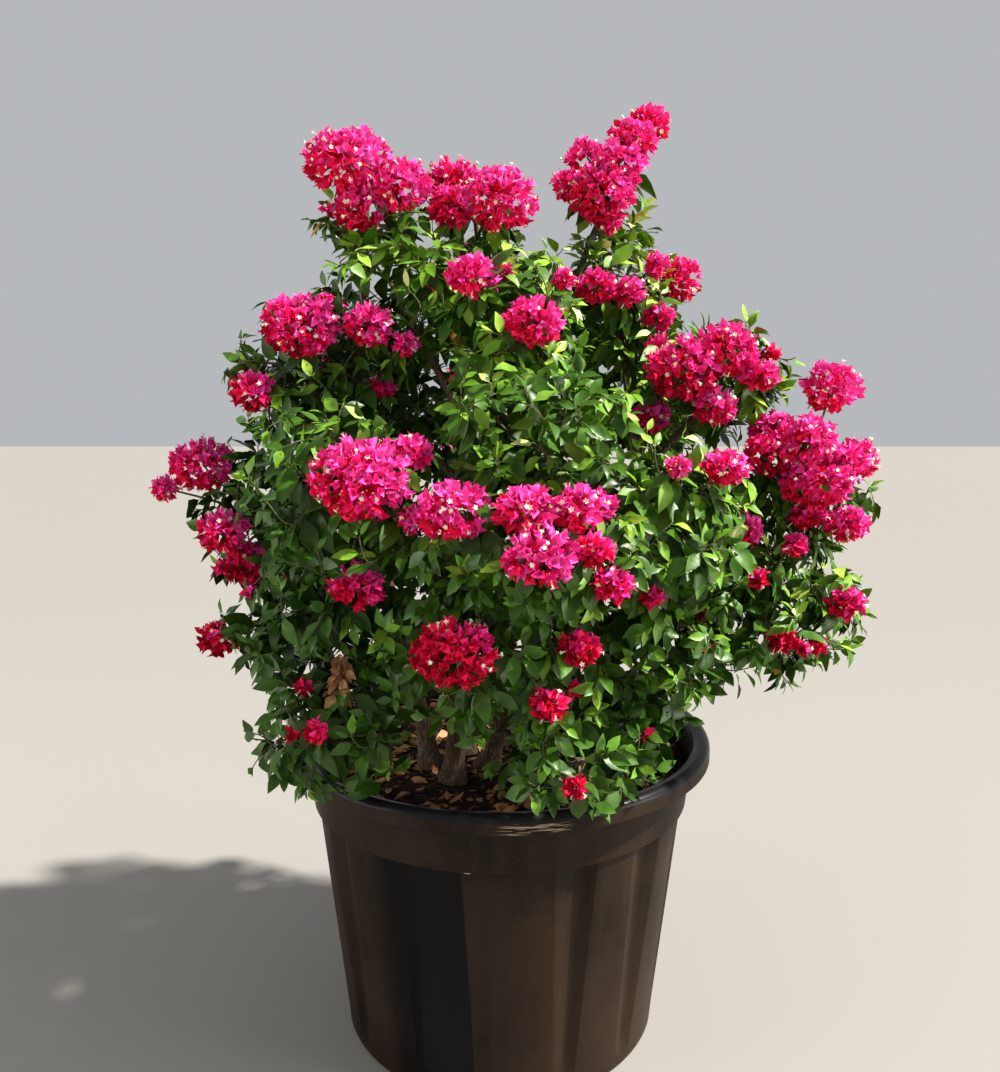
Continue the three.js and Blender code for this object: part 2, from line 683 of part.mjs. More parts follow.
// Leaves along a shoot. One that would leave its mass's space or touch a limb is turned on
// and made smaller, and after a few tries it is left off.
function addLeaves(mass, { line, twig, headSize }, core, random, pieces) {
  const axis = line.getTangent(0);
  const side = new THREE.Vector3().crossVectors(axis, UP).normalize();
  const front = new THREE.Vector3().crossVectors(side, axis);
  const near = core ? 0.6 : 0.3;
  const far = 1 - (headSize * 0.95 + 8) / line.getLength();
  let turn = random() * 2 * Math.PI;
  for (let k = 0; k < LEAVES_ON_SHOOT; k += 1) {
    const root = line.getPoint(lerp(near, far, (k + 1) / LEAVES_ON_SHOOT));
    const length = LEAF_LENGTH * lerp(0.85, 1.15, random());
    const droop = lerp(0, 0.4, random());
    const face = heading(CROWN_MIDDLE, root).addScaledVector(UP, 0.4);
    for (let attempt = 0; attempt < LEAF_TRIES; attempt += 1) {
      turn += GOLDEN_ANGLE;
      const along = moved(side.clone().multiplyScalar(Math.cos(turn)), front, Math.sin(turn));
      along.addScaledVector(axis, 0.6).addScaledVector(UP, -droop).normalize();
      const rings = leafRings(root, along, face, length * (1 - 0.07 * attempt));
      if (!leafFits(mass, rings.flat())) continue;
      const leaf = solidOf(loft(rings));
      const others = pieces.filter((piece) => piece !== twig && piece !== core);
      if (others.some((piece) => !piece.intersect(leaf).isEmpty())) continue;
      pieces.push(leaf);
      break;
    }
  }
}

// A leaf fits inside its mass's reach and border, and clear of every limb
function leafFits(mass, corners) {
  const inside = corners.every((point) => reachShare(mass, point) < LEAF_REACH && inCell(mass, point));
  if (!inside) return false;
  const [root, , , , tip] = corners;
  const spine = [0.1, 0.25, 0.4, 0.6, 0.8, 1].map((t) => between(root, tip, t));
  return clearOfLimbs(spine, [0.12, 0.3, 0.5, 0.34, 0.17, 0.02].map((share) => share * LEAF_WIDTH));
}

function meshOf(name, geometry, look) {
  const mesh = new THREE.Mesh(geometry, new THREE.MeshStandardMaterial(looks[look]));
  mesh.name = name;
  return mesh;
}

const bush = new THREE.Group();
bush.add(meshOf('tub', tubGeometry(), 'plastic'));
bush.add(meshOf('soil', soilGeometry(), 'soil'));
for (const { name, solid } of limbs.values()) bush.add(meshOf(name, geometryOf(solid), 'bark'));
for (const mass of masses) bush.add(meshOf(mass.name, geometryOf(growMass(mass)), mass.look));

export default bush;
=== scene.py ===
import json
import math
from dataclasses import dataclass

import bpy
import numpy as np
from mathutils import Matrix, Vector

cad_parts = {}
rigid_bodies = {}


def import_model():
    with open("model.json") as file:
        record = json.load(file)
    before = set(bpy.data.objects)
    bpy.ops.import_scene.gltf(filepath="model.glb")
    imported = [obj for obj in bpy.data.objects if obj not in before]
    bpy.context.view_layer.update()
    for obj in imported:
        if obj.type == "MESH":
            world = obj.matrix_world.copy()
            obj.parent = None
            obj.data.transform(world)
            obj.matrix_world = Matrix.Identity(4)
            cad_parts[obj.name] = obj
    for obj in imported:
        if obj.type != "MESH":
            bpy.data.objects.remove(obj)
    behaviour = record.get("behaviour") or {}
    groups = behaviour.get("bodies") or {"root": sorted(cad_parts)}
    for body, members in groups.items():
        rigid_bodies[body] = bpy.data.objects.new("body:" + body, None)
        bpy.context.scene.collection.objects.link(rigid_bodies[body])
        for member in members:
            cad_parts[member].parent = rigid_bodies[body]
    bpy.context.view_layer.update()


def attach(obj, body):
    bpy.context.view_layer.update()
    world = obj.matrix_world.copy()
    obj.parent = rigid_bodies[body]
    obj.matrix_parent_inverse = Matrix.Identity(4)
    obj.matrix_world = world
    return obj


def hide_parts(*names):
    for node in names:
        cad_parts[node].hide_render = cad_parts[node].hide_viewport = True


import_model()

# View
CAMERA_PLACE = (0.0, -1.858, 1.263)
CAMERA_PITCH = math.radians(9.4)
CAMERA_LENS = 33.58

# Growth is worked out in millimetres
MM = 0.001

# Clearances
FIT = 0.3
SPACE_MARGIN = 1.2
LIMB_CLEARANCE = 2
LEAF_CROSSING = -22      # how far a small leaf may reach over a mass's border

# Tub
TUB_HEIGHT = 580
RIM_RADIUS = 400
RIM_LOWER_EDGE = 546
COLLAR_RADIUS = 368
LEDGE_RADIUS = 358
LEDGE_HEIGHT = 459
BODY_TOP_RADIUS = 350
BASE_RADIUS = 293
FLOOR_THICKNESS = 8
FOOT_ROLL = 10           # how far the wall stands out past its round foot
RIM_ROUND = 14
INNER_WALL = ((363, RIM_LOWER_EDGE), (352, 480), (331, 452), (288, FLOOR_THICKNESS))
WALL_RINGS = 16
FLUTES = 14
FLUTE_TURN = math.radians(-94)
FLUTE_TOP_WIDTH = math.radians(13)
FLUTE_FOOT_WIDTH = math.radians(7.5)
FLUTE_TOP_DEPTH = 13
FLUTE_FOOT_DEPTH = 7
FLUTE_FOOT = 34
FLUTE_COLUMNS = 24       # of the tub mesh, to each flute and the panel beside it

# Wear of the tub and a front panel of painted shade, with places in metres
SHADED_PANEL_LEFT = -0.73      # sideways over forwards, at the edges of the panel of painted shade
SHADED_PANEL_RIGHT = -0.136
SHADED_PANEL_SLANT = 0.107     # more of it to each metre of height
SCRAPED_ACROSS = (0.005, 0.105)
SCRAPED_HEIGHT = (0.549, 0.567)
SPECK_ACROSS = (-0.058, -0.048)
SPECK_HEIGHT = (0.457, 0.4615)
THIN_DUST = (0.0064, 0.0037, 0.0021)
DUST = (0.0152, 0.0085, 0.0049)
THICK_DUST = (0.0225, 0.0127, 0.0073)
GRIT = (0.046, 0.032, 0.022)
# Near-black of one front panel, which is painted shade
PANEL_SHADE = (0.0009, 0.0007, 0.0010)
RIM_PLASTIC = (0.010, 0.010, 0.0105)
SCRAPED_PLASTIC = (0.36, 0.27, 0.19)
WHITE_SPECK = (0.75, 0.72, 0.65)

# Soil
SOIL_LEVEL = 535
SOIL_EDGE_DIP = 5
SOIL_RADIUS = 355
SOIL_EDGE_WIDTH = 45
SOIL_RINGS = 60

# Limbs
FOOT_FLARE = 1.9
FLARE_HEIGHT = 70
FORK_FLARE = 0.35
FORK_FLARE_HEIGHT = 18
STEM_COURSE_ROWS = 56
BOUGH_COURSE_ROWS = 30
ENTRY_SHARE = 0.85
ENTRY_INSET = 14
KNOT_DEPTH = 0.2         # of the limb's thickness at its foot

# Crown
CROWN_MIDDLE = np.array((0.0, 0.0, 1050.0))
CROWN_REACH = (620, 500, 640)
LOWEST_LEAF = TUB_HEIGHT + 3
USUAL_REACH = 130
SHOOTS_PER_MASS = 5.7
SHORTEST_SHOOT = 0.35
INWARD_LIMIT = -0.45
FRONT_LIMIT = 0.1
BARE_SHOOT_LIMIT = -0.1
STEM_TIP = 6
SHOOT_RADIUS = 4
HEAD_SIDES = 5
SEEDED_HEAD_SIZE = 44
HEAD_STEP = 7
GOLDEN_ANGLE = math.pi * (3 - math.sqrt(5))

# Finer growth
TWIGS_PER_MASS = 72
TWIG_RADIUS = 1.5
TWIG_ROWS = 7
TWIG_TAPER = 0.55
TWIG_ARCH = 0.06
TWIG_NEAR = 0.5          # how far out the twigs' tips lie, for 1 at the mass's reach
TWIG_RANGE = 0.62
BLOSSOM_TWIG_RANGE = 0.45
NEAREST_TIP = 19         # a tip this near to older wood gets no twig
STEM_ROWS = 8
LEAF_SPACING = 8.6
LEAF_LENGTH = 49
LEAF_WIDTH = 0.52        # of its length
LEAF_CURL = (0.0, 0.42)
LEAF_HANG = (0.35, 1.5)
INNER_LEAF = 1.55        # a leaf's size at the middle of its mass, for one outside
YOUNG_LEAF = 0.58        # a leaf's size at the tip of a twig
YOUNG_LENGTH = 40        # of the tip of a twig that bears young leaves
LEAF_LIMIT = 1.2         # how far out a leaf may reach, for 1 at the mass's reach
BLOSSOM_LEAF_LIMIT = 1.05
LEAF_STEPS = (0.44, 0.84, 1.10, 1.34)
TURNING_SHARE = 0.003
STRAY_SHARE = 0.035      # of the fine twigs that end in a small head
STRAY_SIZES = (8, 16)
BACK_STRAY_SHARE = 0.17
BACK_STRAY_SIZES = (14, 42)
FLOWER_SPACING = 8.1
INNER_FLOWERS = 0.3      # for one flower on the outside of a head
HEAD_SPREAD = ((1.04, 1.16), (0.95, 1.05), (0.78, 0.92))
LOW_HEAD = 1000          # heads below this height are darker
LOW_HEAD_SHADE = 0.64
LOW_HEAD_FADE = 160
BRACT_LENGTH = 18
BRACT_WIDTH = 0.62       # of its length
BRACT_STEPS = (-0.48, -0.14, 0.17)
TUBE_LENGTH = (17, 22)
STAR_POINTS = 5
STAR_RADIUS = (3.4, 4.8)
STAR_SHARE = 0.13
# The way to the sun, which also sets the painted light in the tints of leaves and bracts.
SUN = np.array((0.55, -0.10, 0.83))      # the way to it
DRIED_TOP = (-250, -322, 828)
DRIED_FOOT = (-256, -328, 748)
DRIED_ROOM = 36
DRIED_LEAVES = 60

# Light
SUN_COLOUR = (1.0, 0.95, 0.87)
FILL_COLOUR = (1.0, 0.95, 0.88)
SKY_COLOUR = (0.94, 0.97, 1.0)
FLOOR_COLOUR = (0.25, 0.242, 0.228)

UP = np.array((0.0, 0.0, 1.0))
AWAY = np.array((0.0, 1.0, 0.0))


# Each mass of foliage or blossom: its middle, its reach along X, Y and Z, the share of its seeded
# shoots that flower, its limb, and its front heads as across, up and radius. A limb is given by its
# name, the stem it springs from, the share of that stem's length or the place on the soil where it
# starts, its radius there and at its tip, and its arch.
MASSES = (
    ("blossom_top_left", (-230, -40, 1565), (130, 110, 115), 0.6,
     ("bough_top_left", "stem_left", 0.86, 9, 6, -0.1),
     [(-30, 40, 54), (70, 5, 48), (-5, -40, 49)]),
    ("blossom_top_middle", (-45, -10, 1540), (95, 100, 100), 0.5,
     ("bough_top_middle", "stem_back", 0.9, 8, 5.5, 0.05),
     [(-40, 0, 40), (45, 10, 56)]),
    ("blossom_spike", (200, 10, 1565), (95, 80, 135), 0.5,
     ("bough_spike", "stem_back", 0.8, 8, 6, -0.08),
     [(-80, 20, 28), (-25, 0, 52), (5, 50, 45), (30, 94, 38), (64, 130, 35), (-10, -50, 23)]),
    ("foliage_upper_left", (-175, -120, 1390), (130, 120, 125), 0.2,
     ("bough_upper_left", "stem_front", 0.82, 9, 6, 0),
     [(-45, -60, 40), (20, -85, 21)]),
    ("foliage_upper_middle", (20, -190, 1330), (120, 120, 130), 0.2,
     ("stem_front", None, (-85, -150), 15, 7, -0.03),
     [(35, 10, 44), (80, 75, 18), (-62, 80, 36)]),
    ("foliage_upper_right", (210, -10, 1385), (130, 120, 115), 0.5,
     ("bough_upper_right", "stem_right", 0.84, 9, 6, 0),
     [(-45, 20, 33), (10, 10, 27), (60, 55, 21), (90, -40, 32)]),
    ("foliage_upper_back", (20, 130, 1390), (150, 130, 130), 0.3,
     ("stem_back", None, (-70, -15), 15, 7, 0.03), []),
    ("foliage_left_shoulder", (-325, -110, 1255), (135, 130, 130), 0.25,
     ("stem_left", None, (-130, -80), 14, 7, -0.06),
     [(-5, 90, 61), (-80, -25, 35), (130, -20, 23)]),
    ("foliage_right_shoulder", (370, -110, 1250), (130, 130, 110), 0.5,
     ("stem_right", None, (-25, -100), 15, 7, -0.06),
     [(-115, 60, 27), (-70, 15, 54), (-5, 45, 46), (50, 5, 29), (-20, -45, 33),
      (-105, -65, 31)]),
    ("blossom_right", (530, -95, 1090), (165, 135, 165), 0.4,
     ("bough_right_blossom", "stem_right", 0.66, 9, 6, 0.06),
     [(30, 145, 45), (-85, 90, 48), (-25, 60, 47), (40, 25, 35), (-5, -5, 54), (-80, 35, 41),
      (-5, -95, 43), (70, -95, 37)]),
    ("foliage_left_outer", (-440, -60, 1000), (110, 120, 135), 0.35,
     ("bough_left_outer", "stem_left", 0.5, 9, 6, 0.08),
     [(-96, 96, 53), (-35, -10, 39), (-5, -90, 44), (-165, 52, 24)]),
    ("foliage_front_middle", (60, -330, 1170), (150, 130, 120), 0.1,
     ("bough_front_middle", "stem_front", 0.62, 8, 5.5, 0.05), []),
    ("foliage_front_left", (-245, -325, 1065), (150, 130, 145), 0.15,
     ("bough_front_left", "stem_front", 0.5, 8, 5.5, 0.1),
     [(45, 45, 62), (118, 80, 32), (116, -20, 22), (30, -132, 40)]),
    ("foliage_front_blossom", (50, -430, 1010), (175, 110, 95), 0.3,
     ("bough_front_blossom", "stem_front", 0.4, 8, 5.5, 0.12),
     [(-115, 60, 45), (-15, 65, 38), (55, 65, 34), (120, 80, 33), (5, 5, 45), (80, 12, 26),
      (108, -42, 28)]),
    ("foliage_front_right", (260, -320, 1035), (140, 125, 135), 0.2,
     ("bough_front_right", "stem_right", 0.5, 8, 5.5, 0.1),
     [(0, 90, 17), (73, 87, 31), (-30, -110, 17)]),
    ("foliage_low_front", (0, -370, 840), (185, 130, 130), 0.1,
     ("bough_low_front", "stem_front", 0.22, 8, 5.5, 0.12),
     [(-65, 25, 53), (125, 25, 32), (70, -55, 26), (150, -85, 16)]),
    ("foliage_low_left", (-300, -205, 835), (155, 150, 140), 0.1,
     ("bough_low_left", "stem_left", 0.26, 9, 6, 0.08),
     [(-182, -22, 32)]),
    ("foliage_low_right", (450, -130, 875), (190, 170, 155), 0.15,
     ("bough_low_right", "stem_right", 0.32, 10, 6, 0.1),
     [(-43, 128, 30), (35, 105, 21), (120, 10, 28), (10, -45, 24), (75, -60, 16)]),
    ("foliage_foot_left", (-275, -325, 680), (125, 95, 90), 0.05,
     ("bough_foot_left", "stem_left", 0.13, 7, 5, 0.12),
     [(-5, 40, 19)]),
    ("foliage_foot_right", (115, -385, 668), (125, 95, 80), 0.05,
     ("bough_foot_right", "stem_front", 0.1, 7, 5, 0.12),
     [(-5, -8, 18)]),
    ("foliage_low_inner_right", (250, -265, 815), (130, 120, 125), 0.1,
     ("bough_low_inner_right", "stem_right", 0.28, 8, 5.5, 0.1), []),
    ("foliage_foot_inner_right", (200, -270, 670), (105, 95, 82), 0.05,
     ("bough_foot_inner_right", "stem_right", 0.1, 7, 5, 0.12), []),
    ("foliage_back_left_upper", (-270, 175, 1240), (160, 165, 150), 0.6,
     ("bough_back_left_upper", "stem_back", 0.6, 9, 6, 0), []),
    ("foliage_back_right_upper", (280, 180, 1230), (170, 170, 150), 0.6,
     ("bough_back_right_upper", "stem_back", 0.67, 9, 6, 0), []),
    ("foliage_back_middle", (0, 320, 1110), (180, 150, 160), 0.6,
     ("bough_back_middle", "stem_back", 0.5, 8, 5.5, 0.04), []),
    ("foliage_back_left_low", (-345, 200, 930), (170, 180, 150), 0.5,
     ("bough_back_left_low", "stem_back", 0.34, 9, 6, 0.08), []),
    ("foliage_back_right_low", (380, 200, 925), (180, 190, 160), 0.5,
     ("bough_back_right_low", "stem_back", 0.27, 9, 6, 0.1), []),
    ("foliage_back_low", (20, 320, 820), (190, 150, 130), 0.5,
     ("bough_back_low", "stem_back", 0.2, 8, 5.5, 0.1), []),
)


@dataclass
class Limb:
    name: str
    parent: str
    start: object
    butt: float
    tip: float
    arch: float


@dataclass
class Mass:
    name: str
    centre: tuple
    reach: tuple
    bloom: float
    limb: tuple
    heads: list

    def __post_init__(self):
        self.limb = Limb(*self.limb)
        self.middle = np.array(self.centre, dtype=float)
        self.span = np.array(self.reach, dtype=float)
        self.size = sum(self.reach) / 3


masses = [Mass(*row) for row in MASSES]
MIDDLES = np.array([mass.middle for mass in masses])
SIZES = np.array([mass.size for mass in masses])


def lerp(a, b, t):
    return a + (b - a) * t


def unit(vector):
    return vector / np.linalg.norm(vector, axis=-1, keepdims=True)


def dot(a, b):
    return (a * b).sum(-1, keepdims=True)


def beside(axis, limit=0.9):
    """A direction square to each axis. An axis that stands up more than the limit is told apart."""
    return unit(np.cross(axis, np.where(np.abs(axis[..., 2:]) < limit, UP, AWAY)))


def seeded(seed):
    """Numbers from 0 to 1 that are the same each time."""
    state = seed
    while True:
        state = (state * 1664525 + 1013904223) % 2**32
        yield state / 2**32


def is_blossom(mass):
    return mass.name.startswith("blossom")


# Space of a mass: its own side of the border with each neighbour

def border_gap(mass, points):
    points = np.atleast_2d(points)
    own = ((points - mass.middle) ** 2).sum(-1) - mass.size**2
    theirs = ((points[:, None] - MIDDLES) ** 2).sum(-1) - SIZES**2
    apart = 2 * np.linalg.norm(MIDDLES - mass.middle, axis=-1)
    apart[masses.index(mass)] = np.inf
    gaps = (theirs - own[:, None]) / apart
    gaps[:, masses.index(mass)] = np.inf
    return gaps.min(-1)


def in_cell(mass, points, margin=SPACE_MARGIN):
    points = np.atleast_2d(points)
    return (points[:, 2] >= LOWEST_LEAF) & (border_gap(mass, points) > margin)


def reach_share(mass, points):
    return np.linalg.norm((np.atleast_2d(points) - mass.middle) / mass.span, axis=-1)


# Limbs: the stems rise from the soil, each bough springs from a stem,
# and each ends where it enters its mass

def bezier(start, bend, tip, shares):
    t = np.asarray(shares, dtype=float)[:, None]
    return (1 - t) ** 2 * start + 2 * t * (1 - t) * bend + t**2 * tip


def entry_to(mass, start):
    back = unit(start - mass.middle)
    distance = 0
    point = mass.middle
    while (reach_share(mass, point)[0] < ENTRY_SHARE
           and in_cell(mass, point + back * ENTRY_INSET)[0]):
        distance += 4
        point = mass.middle + back * distance
    return point


def set_limb(mass, limbs):
    limb = mass.limb
    parent = limbs.get(limb.parent)
    if parent:
        start = bezier(*parent.course, [limb.start])[0]
    else:
        start = np.array((*limb.start, SOIL_LEVEL + FIT), dtype=float)
    tip = entry_to(mass, start)
    bend = lerp(start, tip, 0.5 if parent else 0.3)
    if parent:
        bend[2] += 2 * limb.arch * np.linalg.norm(tip - start)
    else:
        bend[2] = lerp(start[2], tip[2], 0.55)
    limb.course = (start, bend, tip)
    limb.line = bezier(*limb.course, np.linspace(0, 1, 17))
    limb.ahead = unit(tip - bend)
    limbs[limb.name] = limb


limbs = {}
for mass in sorted(masses, key=lambda mass: mass.limb.parent is not None):
    set_limb(mass, limbs)

LINE_STARTS = np.concatenate([limb.line[:-1] for limb in limbs.values()])
LINE_WAYS = np.concatenate([np.diff(limb.line, axis=0) for limb in limbs.values()])
LINE_RADII = np.concatenate([lerp(limb.butt, limb.tip, np.arange(16) / 16) for limb in limbs.values()])


def bark_gap(points):
    """Distance from each point to the nearest limb's bark."""
    points = np.atleast_2d(points)
    gaps = []
    for some in np.array_split(points, len(points) // 4000 + 1):
        offset = some[:, None] - LINE_STARTS
        along = (offset * LINE_WAYS).sum(-1) / (LINE_WAYS**2).sum(-1)
        nearest = offset - np.clip(along, 0, 1)[..., None] * LINE_WAYS
        gaps.append((np.linalg.norm(nearest, axis=-1) - LINE_RADII).min(-1))
    return np.concatenate(gaps)


def clear_of_limbs(points, radii):
    return bool((bark_gap(points) >= radii + LIMB_CLEARANCE).all())


# Main shoots of a mass, with the flower heads at their tips

def ring_around(middle, axis, radius, sides, turn=0.0):
    side = beside(axis)
    front = np.cross(side, axis)
    angles = turn + 2 * math.pi * np.arange(sides)[:, None] / sides
    return middle + radius * (side * np.cos(angles) + front * np.sin(angles))


def head_corners(middle, axis, size):
    rings = []
    for level, turn in ((-0.4, 0.0), (0.4, math.pi / HEAD_SIDES)):
        ring = ring_around(middle + axis * level * size, axis, 0.92 * size, HEAD_SIDES, turn)
        pull = np.where(np.arange(HEAD_SIDES) % 2, -0.1, 0.14)[:, None]
        rings.append(lerp(ring, middle, pull))
    ends = np.array([middle - axis * 0.85 * size, middle + axis * 0.9 * size])
    return np.concatenate([ends, *rings])


def head_place(mass, across, up):
    wide, deep, tall = mass.reach
    rest = 1 - (across / wide) ** 2 - (up / tall) ** 2
    forward = 0.9 * deep * math.sqrt(max(0, rest))
    return mass.middle + np.array((across, -forward, up))


def spread_direction(k, count, turn):
    height = 1 - 2 * (k + 0.5) / count
    ring = math.sqrt(1 - height * height)
    angle = turn + k * GOLDEN_ANGLE
    return np.array((ring * math.cos(angle), ring * math.sin(angle), height))


def drawn_back(mass, direction, far):
    share = far
    while share > SHORTEST_SHOOT:
        place = mass.middle + direction * mass.span * share
        if in_cell(mass, place + direction * SHOOT_RADIUS)[0]:
            return place
        share *= 0.92
    return None


def shoot_tips(mass, random):
    tips = [(head_place(mass, across, up), size) for across, up, size in mass.heads]
    outward = unit(mass.middle - CROWN_MIDDLE)
    count = round(SHOOTS_PER_MASS * (mass.size / USUAL_REACH) ** 2)
    turn = next(random) * 2 * math.pi
    for k in range(count):
        direction = spread_direction(k, count, turn)
        far = lerp(0.72, 0.92, next(random))
        luck = next(random)
        size = SEEDED_HEAD_SIZE * lerp(0.75, 1.15, next(random))
        facing = direction @ outward
        place = None if facing < INWARD_LIMIT else drawn_back(mass, direction, far)
        if place is None or any(np.linalg.norm(place - at) < wide + 30 for at, wide in tips):
            continue
        bears = luck < mass.bloom and direction[1] > FRONT_LIMIT and facing > 0
        if is_blossom(mass) and not bears and direction[2] > BARE_SHOOT_LIMIT:
            continue
        tips.append((place, size if bears else 0))
    return tips


def settled_head(mass, place, size):
    axis = unit(place - mass.middle)
    for step in range(8):
        middle = place - axis * HEAD_STEP * step
        radius = size * (1 - 0.04 * step)
        inside = in_cell(mass, head_corners(middle, axis, radius)).all()
        if inside and clear_of_limbs(middle, np.array([radius * 1.1])):
            return middle, radius
    return None


def main_shoots(mass):
    """Each shoot as its foot, its tip and the radius of its flower head, or 0."""
    random = seeded(7919 * (1 + masses.index(mass)))
    root = mass.limb.course[2] + mass.limb.ahead * FIT
    end = mass.middle + unit(mass.middle - root) * mass.size * 0.2
    tips = shoot_tips(mass, random)
    tips.sort(key=lambda tip: unit(tip[0] - mass.middle) @ mass.limb.ahead)
    shoots = []
    for k, (place, size) in enumerate(tips):
        start = lerp(root, end, lerp(0.25, 0.97, (k + 0.5) / len(tips)))
        head = settled_head(mass, place, size) if size else (place, 0)
        if head is None:
            continue
        course = lerp(start, head[0], np.arange(1, 9)[:, None] / 8)
        if in_cell(mass, course).all() and clear_of_limbs(course[1:], SHOOT_RADIUS):
            shoots.append((start, *head))
    return root, end, shoots


# Materials

def noise_group(name, **inputs):
    """Uneven patches from 0 to 1 with a scale and a detail, or streaks, which are given by how
    fine they are across and along the upright."""
    group = bpy.data.node_groups.new(name, "ShaderNodeTree")
    for label, default in inputs.items():
        socket = group.interface.new_socket(label, in_out="INPUT", socket_type="NodeSocketFloat")
        socket.default_value = default
    group.interface.new_socket("Value", in_out="OUTPUT", socket_type="NodeSocketFloat")
    new, link = group.nodes.new, group.links.new
    given = new("NodeGroupInput").outputs
    place = new("ShaderNodeTexCoord").outputs["Object"]
    noise = new("ShaderNodeTexNoise")
    spread = new("ShaderNodeMapRange")
    if "Across" in inputs:
        sizes = new("ShaderNodeCombineXYZ")
        for axis, label in zip("XYZ", ("Across", "Across", "Along")):
            link(given[label], sizes.inputs[axis])
        stretch = new("ShaderNodeVectorMath")
        stretch.operation = "MULTIPLY"
        link(place, stretch.inputs[0])
        link(sizes.outputs["Vector"], stretch.inputs[1])
        link(stretch.outputs["Vector"], noise.inputs["Vector"])
        noise.inputs["Scale"].default_value = 1
        noise.inputs["Detail"].default_value = 4
    else:
        link(place, noise.inputs["Vector"])
        link(given["Scale"], noise.inputs["Scale"])
        link(given["Detail"], noise.inputs["Detail"])
    link(noise.outputs["Fac"], spread.inputs["Value"])
    link(given["Low"], spread.inputs["From Min"])
    link(given["High"], spread.inputs["From Max"])
    link(spread.outputs["Result"], new("NodeGroupOutput").inputs["Value"])
    return group


MOTTLE = noise_group("mottle", Scale=20, Detail=3, Low=0.35, High=0.65)
STREAKS = noise_group("streaks", Across=120, Along=5, Low=0.35, High=0.7)
SCRAPES = noise_group("scrapes", Across=26, Along=520, Low=0.52, High=0.6)


def new_material(name, roughness, specular):
    material = bpy.data.materials.new(name)
    material.use_nodes = True
    shader = material.node_tree.nodes["Principled BSDF"]
    shader.inputs["Roughness"].default_value = roughness
    shader.inputs["Specular IOR Level"].default_value = specular
    return material, material.node_tree, shader


def placed(tree, group, **values):
    node = tree.nodes.new("ShaderNodeGroup")
    node.node_tree = group
    for label, value in values.items():
        node.inputs[label].default_value = value
    return node.outputs["Value"]


def bumped(tree, shader, height, strength, distance):
    bump = tree.nodes.new("ShaderNodeBump")
    bump.inputs["Strength"].default_value = strength
    bump.inputs["Distance"].default_value = distance
    tree.links.new(height, bump.inputs["Height"])
    tree.links.new(bump.outputs["Normal"], shader.inputs["Normal"])


def mixed(tree, share, low, high):
    """A colour between two, each a colour or a socket."""
    mix = tree.nodes.new("ShaderNodeMix")
    mix.data_type = "RGBA"
    tree.links.new(share, mix.inputs["Factor"])
    for socket, value in ((mix.inputs[6], low), (mix.inputs[7], high)):
        if isinstance(value, tuple):
            socket.default_value = (*value, 1)
        else:
            tree.links.new(value, socket)
    return mix.outputs[2]


def two_shades(name, roughness, specular, shade, light, patch, edges=(0.35, 0.65), relief=None):
    """A material of one shade with uneven patches of a lighter one. The patches have a scale and
    a detail, and a fine relief has these, a strength and a depth."""
    material, tree, shader = new_material(name, roughness, specular)
    patches = placed(tree, MOTTLE, Scale=patch[0], Detail=patch[1], Low=edges[0], High=edges[1])
    tree.links.new(mixed(tree, patches, shade, light), shader.inputs["Base Color"])
    if relief:
        scale, detail, strength, depth = relief
        bumped(tree, shader, placed(tree, MOTTLE, Scale=scale, Detail=detail), strength, depth)
    return material


def bark_material(name, furrow, ridge, relief):
    material, tree, shader = new_material(name, 0.85, 0.25)
    streaks = placed(tree, STREAKS, Across=420, Along=55, Low=0.36, High=0.66)
    patches = placed(tree, MOTTLE, Scale=60, Detail=4, Low=0.3, High=0.7)
    grey = mixed(tree, patches, ridge, tuple(0.6 * c + 0.08 for c in ridge))
    tree.links.new(mixed(tree, streaks, furrow, grey), shader.inputs["Base Color"])
    bumped(tree, shader, streaks, relief, 0.004)
    return material


# Mesh making

def added(name, data):
    """A new object in the scene, at the origin."""
    thing = bpy.data.objects.new(name, data)
    bpy.context.scene.collection.objects.link(thing)
    return thing


def mesh_piece(name, points, faces, material, nodes):
    """A smooth piece made of triangles. Points are in millimetres."""
    mesh = bpy.data.meshes.new(name)
    points = np.asarray(points, dtype=np.float32) * MM
    faces = np.asarray(faces, dtype=np.int32)
    mesh.vertices.add(len(points))
    mesh.vertices.foreach_set("co", points.ravel())
    mesh.loops.add(faces.size)
    mesh.loops.foreach_set("vertex_index", faces.ravel())
    mesh.polygons.add(len(faces))
    mesh.polygons.foreach_set("loop_start", np.arange(0, faces.size, 3, dtype=np.int32))
    mesh.update(calc_edges=True)
    mesh.validate()
    mesh.polygons.foreach_set("use_smooth", np.ones(len(mesh.polygons), dtype=bool))
    finished(added(name, mesh), material, nodes)


def finished(piece, material, nodes):
    piece.data.materials.clear()
    piece.data.materials.append(material)
    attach(piece, "root")
    if nodes:
        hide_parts(*nodes)


def repeated(shape, count, corners):
    """Faces of many copies of a small shape, each with the same number of corners."""
    faces = np.asarray(shape, dtype=np.int64)
    return (faces[None] + (np.arange(count) * corners)[:, None, None]).reshape(-1, 3)


